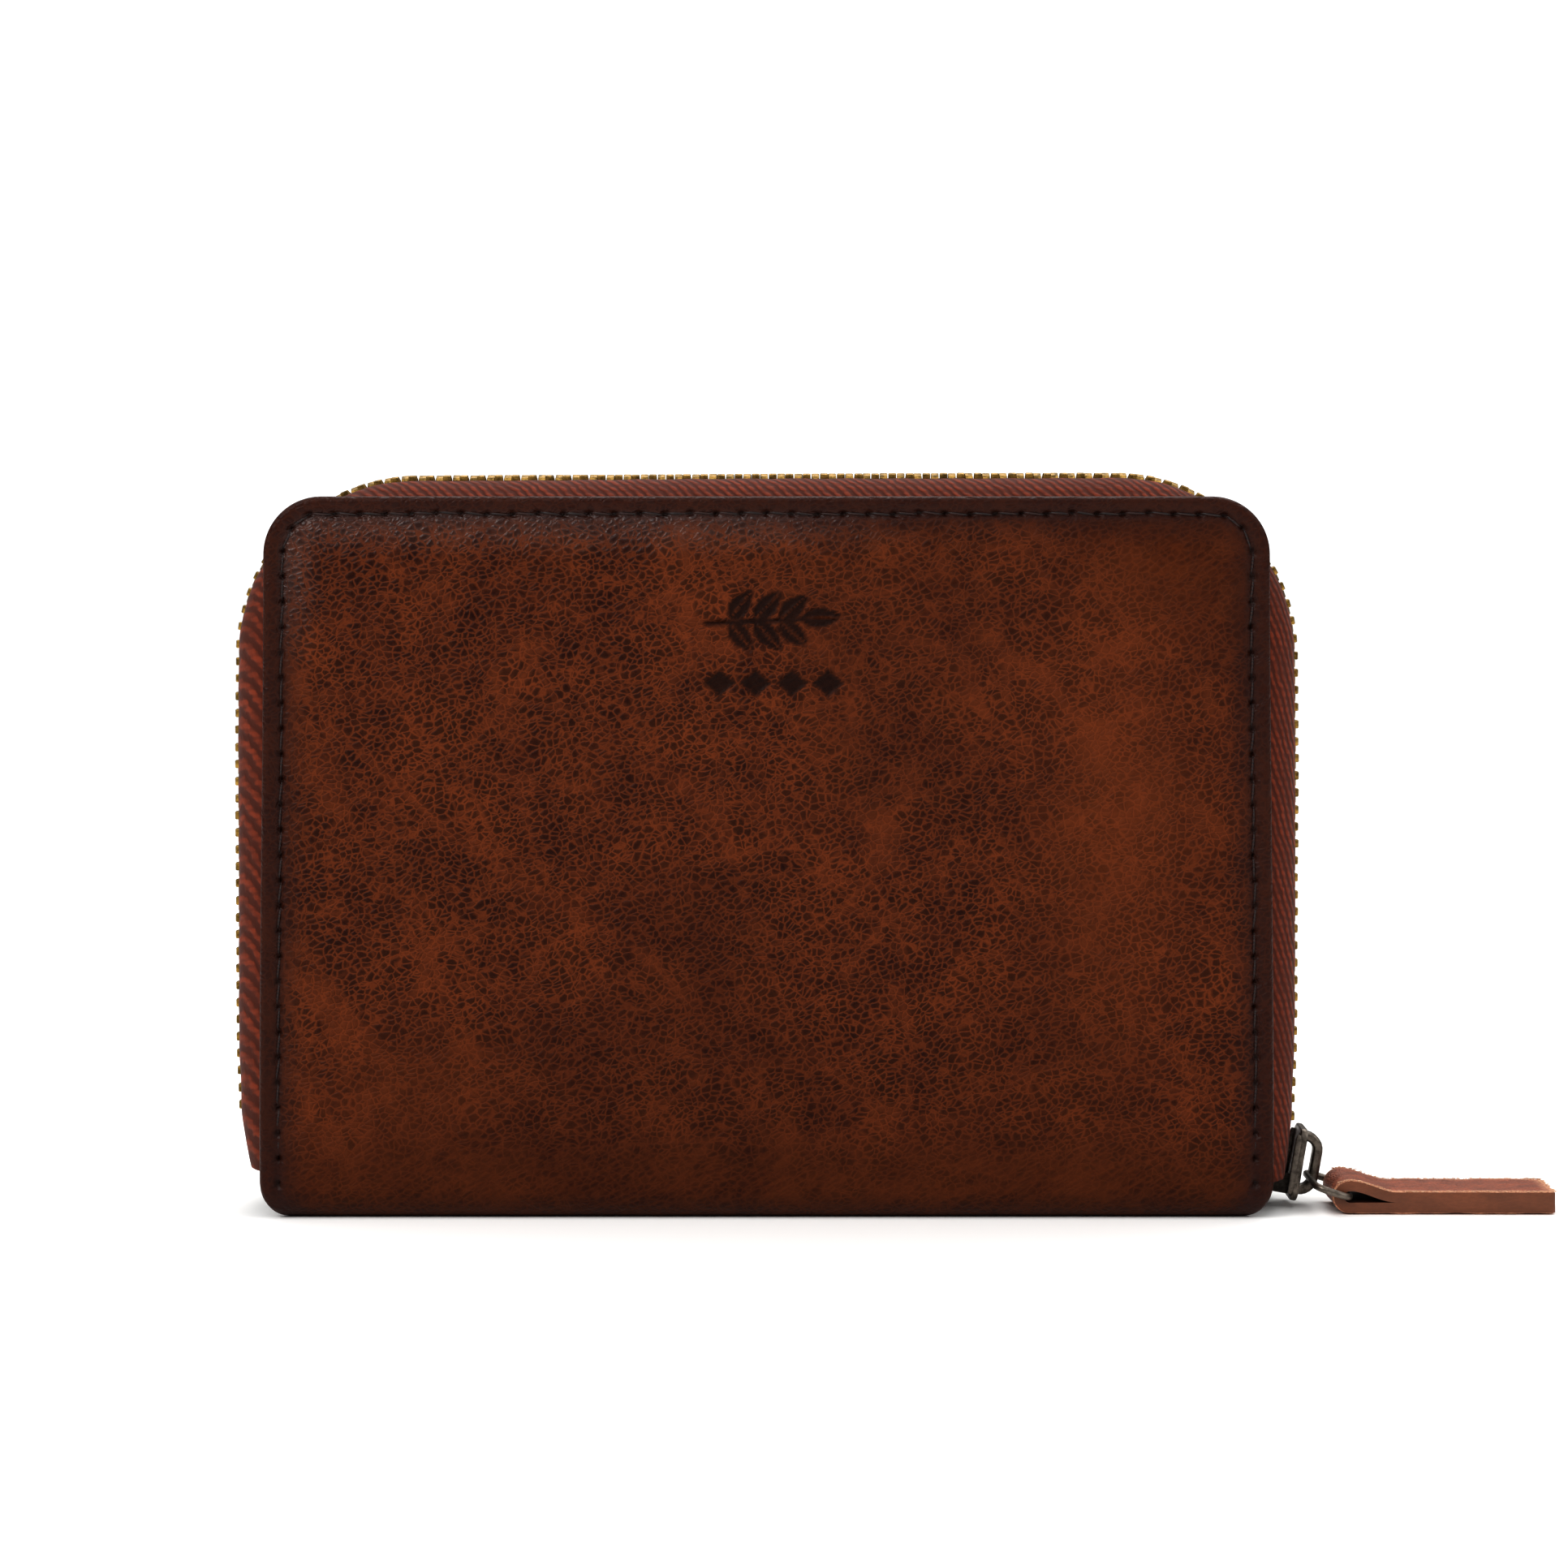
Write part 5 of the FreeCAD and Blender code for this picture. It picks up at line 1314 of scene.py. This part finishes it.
def coin_zip():
    """The coin pocket's own small zip: two tapes, two rows of teeth and a slider with a flat pull tab."""
    for side, word in ((-1, "front"), (1, "back")):
        dress(f"coin_zip_tape_{word}", "tape")
        low, high = box(f"coin_zip_teeth_{word}")
        pitch = 0.8 * sizes().tooth_pitch
        shell = Shell()
        height = (low.z + high.z) / 2
        first = high.x - 0.42 * MM
        count = int(round((high.x - low.x - 0.84 * MM) / pitch)) + 1
        for k in range(count):
            place = Vector((first - pitch * k, 0, height))
            add_tooth(shell, place, Vector((-1, 0, 0)), Vector((0, 0, 1)), Vector((0, -side, 0)), 0.8)
        obj = shell.finish(f"coin_zip_teeth_stamped_{word}", paint("brass"), sharp=28)
        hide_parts(f"coin_zip_teeth_{word}")
        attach(obj, "spine")
    low, high = box("coin_slider_body")
    middle = (low + high) / 2

    def place(out, across, up):
        return Vector((middle.x - up, across, middle.z + out))

    shell = Shell()
    add_slider(shell, place, 2.8 * MM, 3.1 * MM, 3.8 * MM, 1.2 * MM, 0.8 * MM, 0.35 * MM)
    body = shell.finish("coin_slider_cast", paint("nickel"), sharp=40)
    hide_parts("coin_slider_body")
    shell = Shell()
    add_crown(shell, place, 2.0 * MM, 2.5 * MM, 2.4 * MM, 0.8 * MM, 1.6 * MM, 1.0 * MM)
    crown = shell.finish("coin_slider_crown_bent", paint("nickel"), sharp=40)
    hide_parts("coin_slider_crown")
    for obj in (body, crown):
        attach(obj, "coin_slider")
    low, high = box("coin_pull_tab")
    middle_z = (low.z + high.z) / 2
    half = high.y
    shell = Shell()
    outer = [(high.x, -half)] + arc((high.x - 0.6 * MM, half - 0.6 * MM), 0.6 * MM, 0, 90, 3)
    outer += arc((low.x + half, 0), half, 90, 270, 14)
    window_low, window_high = high.x - 4.45 * MM, high.x - 0.9 * MM
    ring = [(window_high, -1.5 * MM)] + [(window_high, 1.3 * MM), (window_high, 1.5 * MM), (window_high - 0.3 * MM, 1.5 * MM),
                                         (window_high - 0.6 * MM, 1.5 * MM)]
    left = [(window_low, 1.5 * MM - 3.0 * MM * i / 14) for i in range(15)]
    inner = ring + left
    thick = (high.z - low.z) / 2
    rows = []
    for level, shrink in ((-thick, 0.15), (-thick + 0.15 * MM, 0.0), (thick - 0.15 * MM, 0.0), (thick, 0.15)):
        grown = inset(outer, shrink * MM)
        rows.append(shell.add((p[0], p[1], middle_z + level) for p in grown))
    for level, shrink in ((thick, 0.1), (-thick, 0.1)):
        rows.append(shell.add((p[0], p[1], middle_z + level) for p in inner))
    shell.bands(rows, ring=True, loop=True)
    tab = shell.finish("coin_pull_tab_cast", paint("nickel"), sharp=35)
    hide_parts("coin_pull_tab")
    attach(tab, "coin_tab")


# ---------------------------------------------------------------- stage
def add_light(name, place, aim, wide, tall, power, tone=(1, 1, 1)):
    data = bpy.data.lights.new(name, "AREA")
    data.shape = "RECTANGLE"
    data.size, data.size_y = wide, tall
    data.energy = power
    data.color = tone
    obj = bpy.data.objects.new(name, data)
    obj.location = place
    obj.rotation_euler = (Vector(aim) - Vector(place)).to_track_quat("-Z", "Y").to_euler()
    bpy.context.scene.collection.objects.link(obj)


def stage():
    """A pale floor that sweeps up behind, three soft lights, a pale room and the camera."""
    made, tree, shader = material("paper_roll_matt")
    wire(tree, shader, {"Base Color": list(colours().floor), "Roughness": 0.9, "Specular IOR Level": 0.1})
    shell = Shell()
    rows = [shell.add((x, y, 0.0) for y in (-6.0, 0.0, 6.0)) for x in (-6.0, 0.0, 6.0)]
    shell.bands(rows)
    floor = shell.finish("paper_floor", made)
    world = bpy.data.worlds.new("studio_room")
    world.use_nodes = True
    room = world.node_tree
    way = node(room, "SeparateXYZ", None, {"Vector": (node(room, "TexCoord"), "Generated")})
    ceiling = ramp(room, (way, "Z"), 0.16, 0.62, 0.03, 1.38)
    seen = node(room, "LightPath")
    strength = node(room, "Mix", {"data_type": "FLOAT"}, {0: (seen, "Is Camera Ray"), 1: ceiling, 2: 1.3})
    wire(room, room.nodes["Background"], {"Color": (0.98, 0.99, 1.0, 1), "Strength": strength})
    bpy.context.scene.world = world
    bpy.context.scene.view_settings.view_transform = "Standard"
    bpy.context.scene.view_settings.gamma = 0.75
    add_light("key_softbox", (-0.5, -0.55, 0.62), (0, 0, 0.06), 0.35, 0.3, 4.0)
    add_light("fill_softbox", (0.75, -0.5, 0.4), (0, 0, 0.05), 0.4, 0.3, 1.5)
    add_light("top_back_softbox", (0.1, 0.35, 0.6), (0.02, 0, 0.05), 0.6, 0.25, 2.0)

    distance, height, aim_high, aim_side = 0.56, 0.1, 0.06045, 0.0024
    span = 0.2156
    pitch = math.radians(2.0)
    data = bpy.data.cameras.new("camera")
    data.sensor_width = 36.0
    data.lens = 36.0 * distance / span
    data.clip_start, data.clip_end = 0.01, 20
    straight = height - distance * math.tan(pitch)
    data.shift_y = (aim_high - straight) / span
    camera = bpy.data.objects.new("camera", data)
    camera.location = (aim_side, COVER_LOW.y - distance, height)
    camera.rotation_euler = (math.pi / 2 - pitch, 0, 0)
    bpy.context.scene.collection.objects.link(camera)
    bpy.context.scene.camera = camera


# ---------------------------------------------------------------- operators
def operator(name, label, text, action):
    """An operator class that runs one making function and raises if it fails."""
    def execute(self, context):
        action()
        return {"FINISHED"}

    fields = {"bl_idname": f"pouch.{name}", "bl_label": label, "__doc__": text, "bl_options": {"REGISTER", "UNDO"},
              "execute": execute}
    return type(f"POUCH_OT_{name}", (bpy.types.Operator,), fields)


SIDES = ((-1, "front"), (1, "back"))


def make_skins():
    for side, word in SIDES:
        cover_skin(side, word)
        cover_stitches(side, word)


def make_zip():
    for side, word in SIDES:
        zip_tape(side, word)
        zip_teeth(side, word)
    zip_stops()


def make_puller():
    main_slider()
    pull_link()
    puller()


def make_inside():
    for side, word in SIDES:
        card_slots(side, word)
        for turn, end in ((-1, "left"), (1, "right")):
            gusset(side, word, turn, end)
        dress(f"{word}_lining", "cloth")
        dress(f"{word}_padding", "felt")
        dress(f"{word}_stiffener_board", "felt")
        dress(f"coin_pocket_{word}_wall", "inner")
    dress("coin_pocket_welt", "inner")
    dress("spine_lining", "cloth")
    dress("spine_stiffener", "felt")
    coin_zip()


OPERATORS = [
    operator("skins", "Leather covers", "Makes both covers' leather and their seams", make_skins),
    operator("zip", "Zip", "Makes the tapes, the teeth and the stops", make_zip),
    operator("puller", "Slider and puller", "Makes the slider, the wire link and the folded leather puller", make_puller),
    operator("inside", "Inside", "Makes the card slots, gussets, lining and coin pocket", make_inside),
    operator("stage", "Stage", "Makes the floor, the lights and the camera", stage),
]


class POUCH_PT_panel(bpy.types.Panel):
    """Lists the making steps in the 3D view's sidebar."""
    bl_label = "Zip-around pouch"
    bl_idname = "POUCH_PT_panel"
    bl_space_type = "VIEW_3D"
    bl_region_type = "UI"
    bl_category = "Pouch"

    def draw(self, context):
        for made in OPERATORS:
            self.layout.operator(made.bl_idname)
        for group in (context.scene.pouch_sizes, context.scene.pouch_colours):
            column = self.layout.column()
            for name in group.bl_rna.properties.keys():
                if name not in ("rna_type", "name"):
                    column.prop(group, name)


CLASSES = [PouchSizes, PouchColours, *OPERATORS, POUCH_PT_panel]


def register():
    for made in CLASSES:
        bpy.utils.register_class(made)
    bpy.types.Scene.pouch_sizes = PointerProperty(type=PouchSizes)
    bpy.types.Scene.pouch_colours = PointerProperty(type=PouchColours)


def unregister():
    del bpy.types.Scene.pouch_sizes
    del bpy.types.Scene.pouch_colours
    for made in reversed(CLASSES):
        bpy.utils.unregister_class(made)


def main():
    register()
    for made in OPERATORS:
        getattr(bpy.ops.pouch, made.bl_idname.split(".")[1])()


if __name__ == "__main__":
    main()
